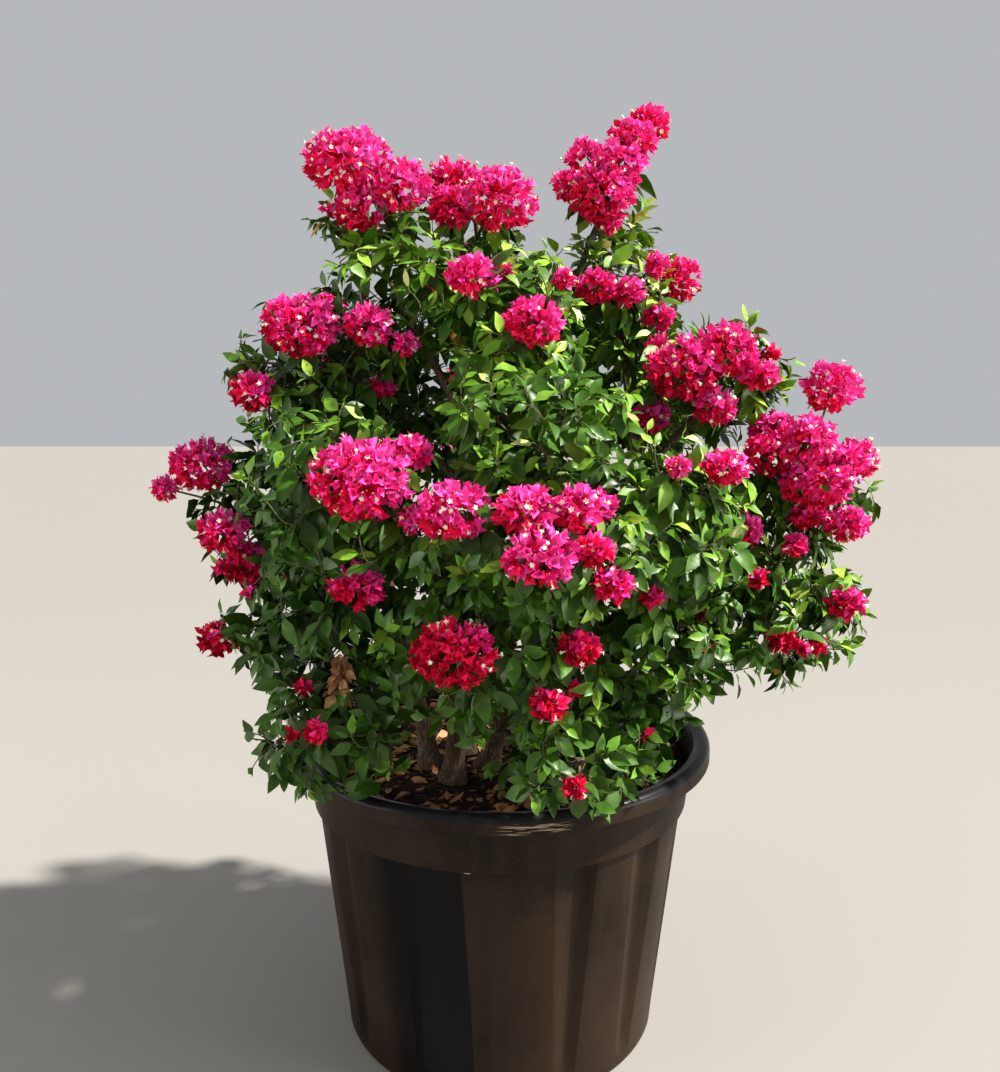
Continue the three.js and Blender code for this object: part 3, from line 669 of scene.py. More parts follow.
def tubes(lines, radii, sides):
    """Closed tapering tubes along lines of equal length: lines is N x rows x 3, radii N x rows."""
    lines = np.asarray(lines, dtype=float)
    count, rows, _ = lines.shape
    ways = unit(np.gradient(lines, axis=1))
    helper = np.where(np.abs(ways[:, :1, 2:]) < 0.9, UP, AWAY)
    side = unit(np.cross(np.broadcast_to(helper, ways.shape), ways))
    front = np.cross(ways, side)
    turns = 2 * math.pi * np.arange(sides) / sides
    rings = (side[:, :, None] * np.cos(turns)[:, None] + front[:, :, None] * np.sin(turns)[:, None])
    rings = lines[:, :, None] + rings * np.asarray(radii)[:, :, None, None]
    corners = rows * sides + 2
    points = np.concatenate(
        [rings.reshape(count, rows * sides, 3), lines[:, :1], lines[:, -1:]], axis=1)
    faces = []
    for row in range(rows - 1):
        for k in range(sides):
            a, b = row * sides + k, row * sides + (k + 1) % sides
            faces += [(a, b, b + sides), (a, b + sides, a + sides)]
    last = (rows - 1) * sides
    for k in range(sides):
        nxt = (k + 1) % sides
        faces += [(rows * sides, nxt, k), (rows * sides + 1, last + k, last + nxt)]
    return points.reshape(-1, 3), repeated(faces, count, corners)


def deselect_all():
    bpy.ops.object.select_all(action="DESELECT")


def lathed(name, profile, segments):
    """A round wall raised ring by ring: radius and height of each ring, in millimetres."""
    deselect_all()
    (radius, height), *rest = profile
    bpy.ops.mesh.primitive_circle_add(
        vertices=segments, radius=radius * MM, location=(0, 0, height * MM), fill_type="NGON")
    piece = bpy.context.active_object
    piece.name = piece.data.name = name
    bpy.ops.object.transform_apply(location=True)
    bpy.ops.object.mode_set(mode="EDIT")
    bpy.ops.mesh.select_mode(type="EDGE")
    bpy.ops.mesh.select_all(action="SELECT")
    bpy.ops.mesh.region_to_loop()
    for next_radius, next_height in rest:
        bpy.ops.mesh.extrude_edges_move(
            TRANSFORM_OT_translate={"value": (0, 0, (next_height - height) * MM)})
        scale = next_radius / radius
        bpy.ops.transform.resize(value=(scale, scale, 1), center_override=(0, 0, next_height * MM))
        radius, height = next_radius, next_height
    bpy.ops.mesh.edge_face_add()
    bpy.ops.mesh.select_all(action="SELECT")
    bpy.ops.mesh.normals_make_consistent(inside=False)
    bpy.ops.object.mode_set(mode="OBJECT")
    return piece


# Tub: a fluted body, a shallow collar above a ledge, and a heavy rolled rim

def tub_profile():
    """Radius and height of each ring, up the outside, over the rim and down the inside."""
    foot = BASE_RADIUS + FOOT_ROLL
    outer = [
        (BASE_RADIUS - 8, 0), (BASE_RADIUS, 1), (BASE_RADIUS + 5, 4), (foot - 2, 10),
        (foot - 1, FLUTE_FOOT - 12), (foot, FLUTE_FOOT),
    ]
    for k in range(1, WALL_RINGS + 1):
        share = k / WALL_RINGS
        outer.append((lerp(foot, BODY_TOP_RADIUS, share), lerp(FLUTE_FOOT, LEDGE_HEIGHT - 1, share)))
    outer += [
        (BODY_TOP_RADIUS + 1, LEDGE_HEIGHT), (LEDGE_RADIUS - 2, LEDGE_HEIGHT + 1),
        (LEDGE_RADIUS, LEDGE_HEIGHT + 3), (COLLAR_RADIUS - 1, RIM_LOWER_EDGE - 4),
        (COLLAR_RADIUS + 1, RIM_LOWER_EDGE), (RIM_RADIUS - 3, RIM_LOWER_EDGE),
        (RIM_RADIUS, RIM_LOWER_EDGE + 2.5), (RIM_RADIUS, TUB_HEIGHT - RIM_ROUND),
    ]
    for turn in math.pi / 16 * np.arange(1, 9):
        outer.append((RIM_RADIUS - RIM_ROUND * (1 - math.cos(turn)),
                      TUB_HEIGHT - RIM_ROUND * (1 - math.sin(turn))))
    outer += [(RIM_RADIUS - 22, TUB_HEIGHT - 1.5), (RIM_RADIUS - 30, TUB_HEIGHT - 6),
              (RIM_RADIUS - 35, TUB_HEIGHT - RIM_ROUND)]
    return [*outer, *INNER_WALL]


def press_flutes(tub):
    """V-shaped grooves with a rounded bottom, wider and deeper towards the top. The columns of
    the mesh are moved round so that some of them run along the grooves' edges."""
    pitch = 2 * math.pi / FLUTES
    for vertex in tub.data.vertices:
        x, y, z = (value / MM for value in vertex.co)
        radius = math.hypot(x, y)
        rise = (z - FLUTE_FOOT) / (LEDGE_HEIGHT - FLUTE_FOOT)
        outside = abs(radius - lerp(BASE_RADIUS + FOOT_ROLL, BODY_TOP_RADIUS, rise)) <= 3
        if not outside or not FLUTE_FOOT - 1 < z < LEDGE_HEIGHT - 0.5:
            continue
        middle = round((math.atan2(y, x) - FLUTE_TURN) / pitch) * pitch + FLUTE_TURN
        column = (math.atan2(y, x) - middle) / (pitch / 2)
        half = lerp(FLUTE_FOOT_WIDTH, FLUTE_TOP_WIDTH, z / LEDGE_HEIGHT) / 2
        across = abs(column) / 0.5
        turn = half * across if across < 1 else lerp(half, pitch / 2, across - 1)
        depth = max(0, 1 - math.sqrt(across**2 + 0.03)) / (1 - math.sqrt(0.03))
        fade = min(1, (z - FLUTE_FOOT + 4) / 16)
        radius -= lerp(FLUTE_FOOT_DEPTH, FLUTE_TOP_DEPTH, z / LEDGE_HEIGHT) * depth * fade
        angle = middle + math.copysign(turn, column)
        vertex.co.x = radius * math.cos(angle) * MM
        vertex.co.y = radius * math.sin(angle) * MM


def arithmetic(tree, operation, first, second):
    node = tree.nodes.new("ShaderNodeMath")
    node.operation = operation
    for socket, value in zip(node.inputs, (first, second)):
        if isinstance(value, float):
            socket.default_value = value
        else:
            tree.links.new(value, socket)
    return node.outputs[0]


def product(tree, *values):
    result = values[0]
    for value in values[1:]:
        result = arithmetic(tree, "MULTIPLY", result, value)
    return result


def smooth_step(tree, value, start, stop):
    """0 before the start and 1 past the stop, with a soft rise between them."""
    step = tree.nodes.new("ShaderNodeMapRange")
    step.interpolation_type = "SMOOTHSTEP"
    step.inputs["From Min"].default_value = start
    step.inputs["From Max"].default_value = stop
    tree.links.new(value, step.inputs["Value"])
    return step.outputs["Result"]


def band(tree, value, low, high, soft):
    """1 between two places along an axis and 0 outside them, with soft ends."""
    return product(tree, smooth_step(tree, value, low - soft, low + soft),
                   smooth_step(tree, value, high + soft, high - soft))


def shaded_panel(tree, x, y, z, front):
    """1 on the front panel that is painted near-black as painted shade, which fades out to its left."""
    aside = arithmetic(tree, "DIVIDE", x, arithmetic(tree, "MULTIPLY", y, -1.0))
    aside = arithmetic(tree, "ADD", aside, arithmetic(tree, "MULTIPLY", z, SHADED_PANEL_SLANT))
    left = smooth_step(tree, aside, SHADED_PANEL_LEFT - 0.14, SHADED_PANEL_LEFT + 0.14)
    right = smooth_step(tree, aside, SHADED_PANEL_RIGHT + 0.006, SHADED_PANEL_RIGHT - 0.006)
    below = smooth_step(tree, z, (LEDGE_HEIGHT + 4) * MM, (LEDGE_HEIGHT - 2) * MM)
    return product(tree, left, right, below, front, 0.97)


def tub_material():
    """Black plastic under a brown film of dust, which is bare and glossy round the top of the rim,
    painted near-black on one panel at the front as painted shade, and scraped on the rim above it."""
    material, tree, shader = new_material("tub_plastic", 0.45, 0.11)
    link = tree.links.new
    place = tree.nodes.new("ShaderNodeTexCoord")
    split = tree.nodes.new("ShaderNodeSeparateXYZ")
    link(place.outputs["Object"], split.inputs["Vector"])
    x, y, z = (split.outputs[axis] for axis in "XYZ")
    front = smooth_step(tree, y, 0.0, -0.05)
    streaks = placed(tree, STREAKS, Across=36, Along=1.6, Low=0.38, High=0.66)
    patches = placed(tree, MOTTLE, Scale=5, Detail=4, Low=0.36, High=0.6)
    grains = placed(tree, MOTTLE, Scale=240, Detail=3, Low=0.4, High=0.72)
    scraped = product(tree, placed(tree, SCRAPES), band(tree, x, *SCRAPED_ACROSS, 0.02),
                      band(tree, z, *SCRAPED_HEIGHT, 0.003), band(tree, y, -0.5, -0.3, 0.01))
    speck = product(tree, band(tree, x, *SPECK_ACROSS, 0.0015),
                    band(tree, z, *SPECK_HEIGHT, 0.0008), front)
    rim_top = band(tree, z, (TUB_HEIGHT - 12) * MM, 1.0, 0.004)
    colour = mixed(tree, streaks, THIN_DUST, DUST)
    # One front panel is painted near-black as painted shade; the other layers are dust, grit, scrapes, a
    # speck and the bare rim top.
    for mask, over in ((patches, THICK_DUST), (product(tree, grains, 0.2), GRIT),
                       (shaded_panel(tree, x, y, z, front), PANEL_SHADE),
                       (scraped, SCRAPED_PLASTIC), (speck, WHITE_SPECK), (rim_top, RIM_PLASTIC)):
        colour = mixed(tree, mask, colour, over)
    link(colour, shader.inputs["Base Color"])
    rough = tree.nodes.new("ShaderNodeMapRange")
    rough.inputs["To Min"].default_value = 0.5
    rough.inputs["To Max"].default_value = 0.3
    link(rim_top, rough.inputs["Value"])
    link(rough.outputs["Result"], shader.inputs["Roughness"])
    bumped(tree, shader, placed(tree, MOTTLE, Scale=9, Detail=5, Low=0.2, High=0.8), 0.2, 0.003)
    return material


tub = lathed("tub_wall", tub_profile(), FLUTES * FLUTE_COLUMNS)
press_flutes(tub)
bpy.ops.object.shade_smooth_by_angle(angle=math.radians(13.5))
finished(tub, tub_material(), ["tub"])


# Soil: crumbly compost with a litter of dry leaves and bark chips

def soil_height(points):
    """Height of the soil under each place, in millimetres."""
    x, y = points[..., 0], points[..., 1]
    lumps = np.sin(x / 31 + 1.3) * np.cos(y / 27) + 0.6 * np.sin(x / 13 - y / 17)
    dip = np.clip((np.hypot(x, y) - SOIL_RADIUS) / SOIL_EDGE_WIDTH + 1, 0, 1)
    return SOIL_LEVEL - 2 + 1.6 * lumps * (1 - dip) - SOIL_EDGE_DIP * dip


def soil_piece():
    edge = SOIL_LEVEL - SOIL_EDGE_DIP
    profile = [(SOIL_RADIUS - 8, SOIL_LEVEL - 60)]
    profile += [(SOIL_RADIUS * (1 - k / SOIL_RINGS), edge) for k in range(SOIL_RINGS)]
    piece = lathed("soil_top", profile, 180)
    rng = np.random.default_rng(5)
    for vertex in piece.data.vertices:
        if vertex.co.z > (SOIL_LEVEL - 20) * MM:
            place = np.array(vertex.co) / MM
            crumb = rng.uniform(-1.6, 1.6) if math.hypot(place[0], place[1]) < SOIL_RADIUS - 3 else 0
            vertex.co.z = (soil_height(place) + crumb) * MM
    bpy.ops.object.shade_smooth()
    material, tree, shader = new_material("compost", 0.95, 0.2)
    patches = placed(tree, MOTTLE, Scale=38, Detail=8, Low=0.35, High=0.66)
    crumbs = placed(tree, MOTTLE, Scale=190, Detail=4, Low=0.3, High=0.7)
    warm = mixed(tree, patches, (0.012, 0.008, 0.006), (0.085, 0.042, 0.020))
    tree.links.new(mixed(tree, crumbs, (0.014, 0.009, 0.007), warm), shader.inputs["Base Color"])
    bumped(tree, shader, crumbs, 0.8, 0.006)
    finished(piece, material, ["soil"])


def litter_piece(name, count, length, width, shade, light, seed, curl):
    """Dry leaves and chips that lie on the soil."""
    rng = np.random.default_rng(seed)
    reach = (SOIL_RADIUS - 22) * np.sqrt(rng.uniform(0, 1, count))
    turn = rng.uniform(0, 2 * math.pi, count)
    place = np.stack([reach * np.cos(turn), reach * np.sin(turn), np.zeros(count)], -1)
    place[:, 2] = soil_height(place) + rng.uniform(0.5, 4, count)
    tilt = unit(np.stack([rng.normal(0, 0.3, count), rng.normal(0, 0.3, count), np.ones(count)], -1))
    way = rng.uniform(0, 2 * math.pi, count)
    along = unit(np.stack([np.cos(way), np.sin(way), rng.normal(0, 0.12, count)], -1))
    top = unit(tilt - dot(tilt, along) * along)
    lengths = length * rng.uniform(0.6, 1.2, count)
    points, faces = blades(place, along, top, lengths, width, curl, rng, petiole=0)
    points[:, 2] = np.maximum(points[:, 2], soil_height(points) + 0.4)
    mesh_piece(name, points, faces, two_shades(name, 0.8, 0.3, shade, light, (22, 3)), [])


# Leaf: an oval blade with a drawn-out tip, folded a little along its midrib, on a short stalk

def blade_faces(foot_faces, first, rows):
    """Faces of a blade with three corners to a row and one at its tip."""
    faces = list(foot_faces)
    for a in range(first, first + 3 * (rows - 1), 3):
        faces += [(a, a + 1, a + 4), (a, a + 4, a + 3), (a + 1, a + 2, a + 5), (a + 1, a + 5, a + 4)]
    last = first + 3 * (rows - 1)
    return faces + [(last, last + 1, last + 3), (last + 1, last + 2, last + 3)]


LEAF_ROWS = ((0.14, 0.60), (0.38, 1.0), (0.63, 0.80), (0.85, 0.36))
LEAF_FACES = blade_faces([(0, 1, 3), (0, 3, 2), (2, 5, 4), (2, 3, 5), (3, 6, 5)], 4, 4)


def blades(roots, along, top, lengths, width, curl, rng, petiole=0.16):
    """Many leaves at once: each has 17 corners and 19 faces."""
    count = len(roots)
    across = np.cross(along, top)
    fold = rng.uniform(0.12, 0.42, (count, 1))
    bend = rng.uniform(*curl, (count, 1))
    length = lengths[:, None]
    half = length * width / 2
    base = roots + along * length * petiole
    stalk = across * 0.012 * length
    corners = [roots + stalk, roots - stalk, base + stalk, base - stalk]
    for share, wide in LEAF_ROWS:
        forward = share * (1 - 0.25 * np.abs(bend) * share)
        middle = base + length * (along * forward - top * bend * share**2)
        for side in (1, 0, -1):
            wave = rng.normal(0, 0.12, (count, 1)) if side else 0
            lift = half * wide * (fold + wave) if side else 0
            corners.append(middle + across * side * half * wide * 0.98 + top * lift)
    corners.append(base + length * (along * (1 - 0.25 * np.abs(bend)) - top * bend))
    return np.stack(corners, axis=1).reshape(-1, 3), repeated(LEAF_FACES, count, len(corners))


def dried_spray():
    """A spray of dead brown leaves that still hangs from its twig at the front left."""
    rng = np.random.default_rng(19)
    count = DRIED_LEAVES
    low, high = np.array(DRIED_FOOT), np.array(DRIED_TOP)
    share = rng.uniform(0, 1, (count, 1))
    roots = lerp(low, high, share) + rng.normal(0, 5, (count, 3)) * (1.3 - share)
    turn = rng.uniform(0, 2 * math.pi, count)
    along = unit(np.stack([np.cos(turn), np.sin(turn), rng.uniform(-2.4, -0.4, count)], -1))
    top = unit(np.cross(along, rng.normal(0, 1, (count, 3))))
    lengths = rng.uniform(16, 34, count)
    points, faces = blades(roots, along, top, lengths, 0.5, (-0.6, 0.6), rng)
    wood = np.concatenate([line for line, _, _ in twigs])
    hold = wood[np.argmin(np.linalg.norm(wood - high, axis=1))]
    stalk, stalk_faces = tubes([bezier(hold, high, low, np.linspace(0, 1, 9))], np.full((1, 9), 1.4), 5)
    faces = np.concatenate([faces, stalk_faces + len(points)])
    points = np.concatenate([points, stalk])
    material = two_shades("dead_leaf", 0.8, 0.3, (0.20, 0.085, 0.028), (0.52, 0.28, 0.12), (60, 3))
    mesh_piece("dried_spray", points, faces, material, ["foliage_low_left"])


soil_piece()
litter_piece("dry_leaves", 460, 34, 0.5, (0.26, 0.11, 0.04), (0.62, 0.33, 0.14), 11, (-0.5, 0.5))
litter_piece("bark_chips", 900, 15, 0.45, (0.08, 0.038, 0.018), (0.30, 0.13, 0.055), 12, (-0.2, 0.2))


# Stems and boughs

def bough_radii(limb, count):
    shares = np.linspace(0, 1, count)
    radii = lerp(limb.butt, limb.tip, shares)
    length = np.linalg.norm(np.diff(limb.line, axis=0), axis=-1).sum()
    if limb.parent is None:
        return radii * (1 + (FOOT_FLARE - 1) * np.exp(-shares * length / FLARE_HEIGHT * 2))
    return radii * (1 + FORK_FLARE * np.exp(-shares * length / FORK_FLARE_HEIGHT))


def limb_piece(limb, material):
    """A limb as a swept round bar, then given the knots and ridges of its bark."""
    rows = STEM_COURSE_ROWS if limb.parent is None else BOUGH_COURSE_ROWS
    deselect_all()
    bpy.ops.curve.primitive_bezier_curve_add()
    path = bpy.context.active_object
    path.name = limb.name
    path.data.splines.clear()
    spline = path.data.splines.new("POLY")
    spline.points.add(rows - 1)
    line = bezier(*limb.course, np.linspace(0, 1, rows))
    rng = np.random.default_rng(len(limb.name) + int(limb.butt * 7))
    drift = np.cumsum(rng.normal(0, 0.5, (rows, 3)), axis=0)
    drift -= np.linspace(0, 1, rows)[:, None] * drift[-1]
    line = line + drift * np.sin(np.linspace(0, math.pi, rows))[:, None]
    line[0, 2] = limb.course[0][2]
    for point, place, radius in zip(spline.points, line * MM, bough_radii(limb, rows)):
        point.co = (*place, 1)
        point.radius = radius
    path.data.dimensions = "3D"
    path.data.bevel_depth = MM
    path.data.bevel_resolution = 5
    path.data.use_fill_caps = True
    bpy.ops.object.convert(target="MESH")
    piece = bpy.context.active_object
    piece.name = piece.data.name = limb.name.replace("bough", "branch") + "_bark"
    bpy.ops.object.shade_smooth()
    ridges = bpy.data.textures.new("knots", "CLOUDS")
    ridges.noise_scale = 0.022
    relief = piece.modifiers.new("knots", "DISPLACE")
    relief.texture = ridges
    relief.texture_coords = "LOCAL"
    relief.strength = KNOT_DEPTH * limb.butt * MM
    relief.mid_level = 0.5
    bpy.ops.object.modifier_apply(modifier=relief.name)
    finished(piece, material, [limb.name])


old_bark = bark_material("old_bark", (0.055, 0.032, 0.018), (0.235, 0.150, 0.088), 0.9)
for limb in limbs.values():
    limb_piece(limb, old_bark)


# Twigs of each mass: its main shoots, then finer twigs that spring from the nearest wood

def curved(start, way, end, rows, lift=0.0):
    """A line that leaves its parent partly in the parent's direction."""
    distance = np.linalg.norm(end - start)
    bend = start + way * distance * 0.45 + UP * lift * distance
    return bezier(start, bend, end, np.linspace(0, 1, rows))


def forks(line, first):
    """Places along a twig where others may spring, each with the twig's direction there."""
    return [(line[k], unit(line[k + 1] - line[k - 1])) for k in range(first, TWIG_ROWS - 1)]


def grow_twigs(mass):
    """The mass's own stem, its twigs as line, radius and head size, and its flower heads."""
    root, end, shoots = main_shoots(mass)
    rng = np.random.default_rng(100 + masses.index(mass))
    stem_way = unit(end - root)
    stem = curved(root, mass.limb.ahead, end, STEM_ROWS)
    grown = []
    for start, tip, size in shoots:
        way = unit(0.5 * stem_way + unit(tip - start))
        grown.append((curved(start, way, tip, TWIG_ROWS), SHOOT_RADIUS * 0.75, size))
    springs = [fork for line, _, _ in grown for fork in forks(line, 1)]
    springs += [(place, stem_way) for place in stem[2:]]
    borne = [(tip, size) for _, tip, size in shoots if size]
    count = round(TWIGS_PER_MASS * (mass.size / USUAL_REACH) ** 2)
    turn = rng.uniform(0, 2 * math.pi)
    tips = []
    for k in range(count):
        direction = spread_direction(k, count, turn)
        far = TWIG_NEAR + (BLOSSOM_TWIG_RANGE if is_blossom(mass) else TWIG_RANGE) * rng.uniform() ** 0.7
        if is_blossom(mass) and direction[2] > BARE_SHOOT_LIMIT:
            continue
        place = drawn_back(mass, unit(direction + rng.normal(0, 0.15, 3)), far)
        if place is not None and all(np.linalg.norm(place - at) > size * 1.05 for at, size in borne):
            tips.append(place)
    tips.sort(key=lambda tip: np.linalg.norm(tip - root))
    for tip in tips:
        places = np.array([place for place, _ in springs])
        distances = np.linalg.norm(places - tip, axis=1)
        near = int(np.argmin(distances + 0.15 * np.linalg.norm(places - root, axis=1)))
        if distances[near] < NEAREST_TIP:
            continue
        line = curved(*springs[near], tip, TWIG_ROWS, TWIG_ARCH)
        if in_cell(mass, line[2:], LEAF_CROSSING).all() and clear_of_limbs(line[2:], TWIG_RADIUS):
            grown.append((line, TWIG_RADIUS, 0))
            springs += forks(line, 2)
    return stem, grown, borne


def leaves_of(mass_twigs, rng):
    """Place, direction, turn, hang, spray and youth of each leaf along the twigs of a mass."""
    rows = []
    for line, radius, size in mass_twigs:
        steps = np.linalg.norm(np.diff(line, axis=0), axis=1)
        length = steps.sum()
        reach = np.concatenate([[0], np.cumsum(steps)])
        at = 0.32 * length if radius > TWIG_RADIUS else 12
        turn = rng.uniform(0, 2 * math.pi)
        spray = rng.uniform()
        hang = rng.uniform(*LEAF_HANG)
        while at < length - size * 0.75:
            root, ahead = (np.array([np.interp(place, reach, line[:, axis]) for axis in range(3)])
                           for place in (at, at + 4))
            young = max(0, 1 - (length - at) / YOUNG_LENGTH) if not size else 0
            rows.append((*root, *unit(ahead - root + 1e-6 * UP), turn, hang, spray, young))
            turn += GOLDEN_ANGLE
            at += LEAF_SPACING * rng.uniform(0.75, 1.25) * (1 - 0.35 * young)
        if not size:
            tip_way = unit(line[-1] - line[-2])
            for extra in range(3):
                rows.append((*line[-1], *tip_way, turn + extra * 2.1, hang * 0.5, spray, 1.0))
    return np.array(rows)


def shaped_leaves(rows, depth, rng):
    root, axis = rows[:, :3], rows[:, 3:6]
    turn, hang, _, young = (rows[:, k:k + 1] for k in (6, 7, 8, 9))
    side = beside(axis, 0.95)
    front = np.cross(side, axis)
    out = side * np.cos(turn) + front * np.sin(turn)
    along = unit(0.85 * out + lerp(0.35, 0.95, young) * axis - lerp(hang, 0.1, young) * UP)
    outward = unit((root - CROWN_MIDDLE) * (1, 1, 0.7))
    face = unit(0.75 * outward + 0.65 * UP + rng.normal(0, 0.32, root.shape))
    top = unit(face - dot(face, along) * along)
    lengths = LEAF_LENGTH * rng.uniform(0.72, 1.16, len(rows)) * lerp(1, YOUNG_LEAF, young[:, 0])
    return root, along, top, lengths * lerp(INNER_LEAF, 1, np.clip(depth, 0, 1))


stems, twigs, heads, mass_leaves = [], [], [], []
for number, mass in enumerate(masses):
    stem, mass_twigs, mass_heads = grow_twigs(mass)
    stems.append(stem)
    twigs += mass_twigs
    heads += mass_heads
    mass_leaves.append(leaves_of(mass_twigs, np.random.default_rng(300 + number)))


def stray_heads():
    """Small heads at the tips of some fine twigs, more of them at the back."""
    rng = np.random.default_rng(77)
    strays = []
    for line, radius, _ in twigs:
        tip = line[-1]
        outward = np.linalg.norm((tip - CROWN_MIDDLE) / CROWN_REACH)
        behind = tip[1] > 60
        size = rng.uniform(*(BACK_STRAY_SIZES if behind else STRAY_SIZES))
        if radius > TWIG_RADIUS or outward < 0.72:
            continue
        if rng.uniform() > (BACK_STRAY_SHARE if behind else STRAY_SHARE):
            continue
        if all(np.linalg.norm(tip - middle) > 0.9 * (wide + size) for middle, wide in heads + strays):
            strays.append((tip, size))
    return strays


heads += stray_heads()

leaf_rng = np.random.default_rng(41)
leaf_rows = np.concatenate(mass_leaves)
leaf_owner = np.repeat(np.arange(len(masses)), [len(rows) for rows in mass_leaves])
leaf_depth = np.concatenate([reach_share(mass, rows[:, :3]) for mass, rows in zip(masses, mass_leaves)])
leaf_root, leaf_along, leaf_top, leaf_length = shaped_leaves(leaf_rows, leaf_depth, leaf_rng)


def fitting_leaves():
    """Leaves that stay within their mass's space, clear of limbs, of flower heads and of the
    dried spray, and out of the way in front of these."""
    tips = leaf_root + leaf_along * (leaf_length * 1.12)[:, None]
    middles = leaf_root + leaf_along * (leaf_length * 0.55)[:, None]
    good = (bark_gap(middles) > 3) & (bark_gap(tips) > 1)
    for number, mass in enumerate(masses):
        own = leaf_owner == number
        for points in (tips[own], middles[own]):
            inside = in_cell(mass, points, LEAF_CROSSING)
            inside &= reach_share(mass, points) < (BLOSSOM_LEAF_LIMIT if is_blossom(mass) else LEAF_LIMIT)
            if is_blossom(mass):
                inside &= points[:, 2] < mass.middle[2] + 0.25 * mass.span[2]
            good[np.flatnonzero(own)[~inside]] = False
    dried = (lerp(np.array(DRIED_FOOT), DRIED_TOP, 0.55), DRIED_ROOM)
    for middle, radius in [*heads, dried]:
        ways = [unit(middle - CROWN_MIDDLE)] + [-AWAY] * int(middle[1] < 0)
        for points in (tips, middles):
            offset = points - middle
            good &= np.linalg.norm(offset, axis=-1) > radius * 0.9
            for way in ways:
                ahead = offset @ way
                aside = np.linalg.norm(offset - ahead[:, None] * way, axis=-1)
                good &= (ahead < 0) | (aside > 0.8 * radius)
    return good


kept = fitting_leaves()
leaf_rows, leaf_depth, leaf_root = leaf_rows[kept], leaf_depth[kept], leaf_root[kept]
leaf_along, leaf_top, leaf_length = leaf_along[kept], leaf_top[kept], leaf_length[kept]

# Leaf tints are dealt out by spray, youth and place. Sprays that face the sun and leaves out towards the
# edge of their mass get lighter tints, which is painted sunlight, with painted shade deeper in; young
# leaves are paler.
LEAF_TINTS = (
    ("leaves_deep", (0.020, 0.055, 0.003), (0.038, 0.098, 0.005), 0.40),
    ("leaves_mid", (0.026, 0.080, 0.004), (0.053, 0.143, 0.007), 0.40),
    ("leaves_fresh", (0.082, 0.205, 0.009), (0.150, 0.300, 0.016), 0.42),
    ("leaves_lime", (0.215, 0.380, 0.024), (0.330, 0.490, 0.055), 0.44),
    ("leaves_pale", (0.460, 0.570, 0.150), (0.640, 0.700, 0.260), 0.5),
    ("leaves_turning", (0.260, 0.150, 0.020), (0.400, 0.270, 0.035), 0.5),
)


def leaf_tints():
    spray, young = leaf_rows[:, 8], leaf_rows[:, 9]
    # Painted light: leaves facing the sun and leaves on the outside of their mass score lighter.
    sunny = unit((leaf_root - CROWN_MIDDLE) * (1, 1, 0.8)) @ SUN
    score = (0.46 * spray + 0.36 * sunny + 0.26 * young + 0.30 * leaf_depth
             + leaf_rng.normal(0, 0.16, len(spray)))
    tints = np.digitize(score, LEAF_STEPS)
    tints[leaf_rng.uniform(0, 1, len(spray)) < TURNING_SHARE] = len(LEAF_TINTS) - 1
    return tints


foliage_nodes = [mass.name for mass in masses if not is_blossom(mass)]
blossom_nodes = [mass.name for mass in masses if is_blossom(mass)]
tints = leaf_tints()
for number, (name, shade, light, roughness) in enumerate(LEAF_TINTS):
    own = tints == number
    points, faces = blades(leaf_root[own], leaf_along[own], leaf_top[own], leaf_length[own],
                           LEAF_WIDTH, LEAF_CURL, leaf_rng)
    material = two_shades(name, roughness, 0.28, shade, light, (38, 2), (0.36, 0.64),
                          relief=(150, 1, 0.1, 0.001))
    mesh_piece(name, points, faces, material, foliage_nodes)

# Wood inside the masses
mass_bark = bark_material("mass_bark", (0.060, 0.036, 0.020), (0.220, 0.145, 0.085), 0.6)
twig_skin = bark_material("twig_skin", (0.045, 0.050, 0.016), (0.135, 0.130, 0.050), 0.3)
stem_radii = [np.linspace(mass.limb.tip, STEM_TIP * 0.6, STEM_ROWS) for mass in masses]
points, faces = tubes(stems, stem_radii, 8)
mesh_piece("mass_stems", points, faces, mass_bark, foliage_nodes + blossom_nodes)
twig_radii = [radius * np.linspace(1, TWIG_TAPER, TWIG_ROWS) for _, radius, _ in twigs]
points, faces = tubes([line for line, _, _ in twigs], twig_radii, 5)
mesh_piece("twigs", points, faces, twig_skin, foliage_nodes + blossom_nodes)
dried_spray()


# Flower heads: clusters of flowers, each of three papery bracts round a slender tube

def flowers_of(rng):
    """Foot, direction and painted light of every flower."""
    rows = []
    for middle, radius in heads:
        outer = max(1, round(4 * (radius / FLOWER_SPACING) ** 2 * 0.95))
        inner = round(outer * INNER_FLOWERS) if radius > 20 else 0
        turn = rng.uniform(0, 2 * math.pi)
        spread = np.array([rng.uniform(*limits) for limits in HEAD_SPREAD])
        low = min(1, max(0, (LOW_HEAD - middle[2]) / LOW_HEAD_FADE))
        tone = rng.normal(0, 0.10) - LOW_HEAD_SHADE * low
        for k in range(outer + inner):
            direction = spread_direction(k % outer, outer, turn) if outer > 1 else middle - CROWN_MIDDLE
            direction = unit(unit(direction) + rng.normal(0, 0.16, 3))
            deep, shade = (0.6, 0.5) if k >= outer else (1, 0)
            reach = max(0, radius * rng.uniform(0.90, 1.18) * deep - 0.8 * BRACT_LENGTH)
            foot = middle + direction * spread * reach
            facing = unit(direction + rng.normal(0, 0.33, 3))
            # Painted light: flowers facing the sun or the sides are lighter; inner flowers and low heads
            # are darker, as painted shade.
            light = 0.55 * direction @ SUN + 0.12 * abs(direction[0]) + tone - shade
            rows.append((*foot, *facing, light))
    return np.array(rows)


BRACT_ROWS = ((0.22, 0.78), (0.50, 1.0), (0.78, 0.50))
BRACT_FACES = blade_faces([(0, 2, 1), (0, 3, 2)], 1, 3)


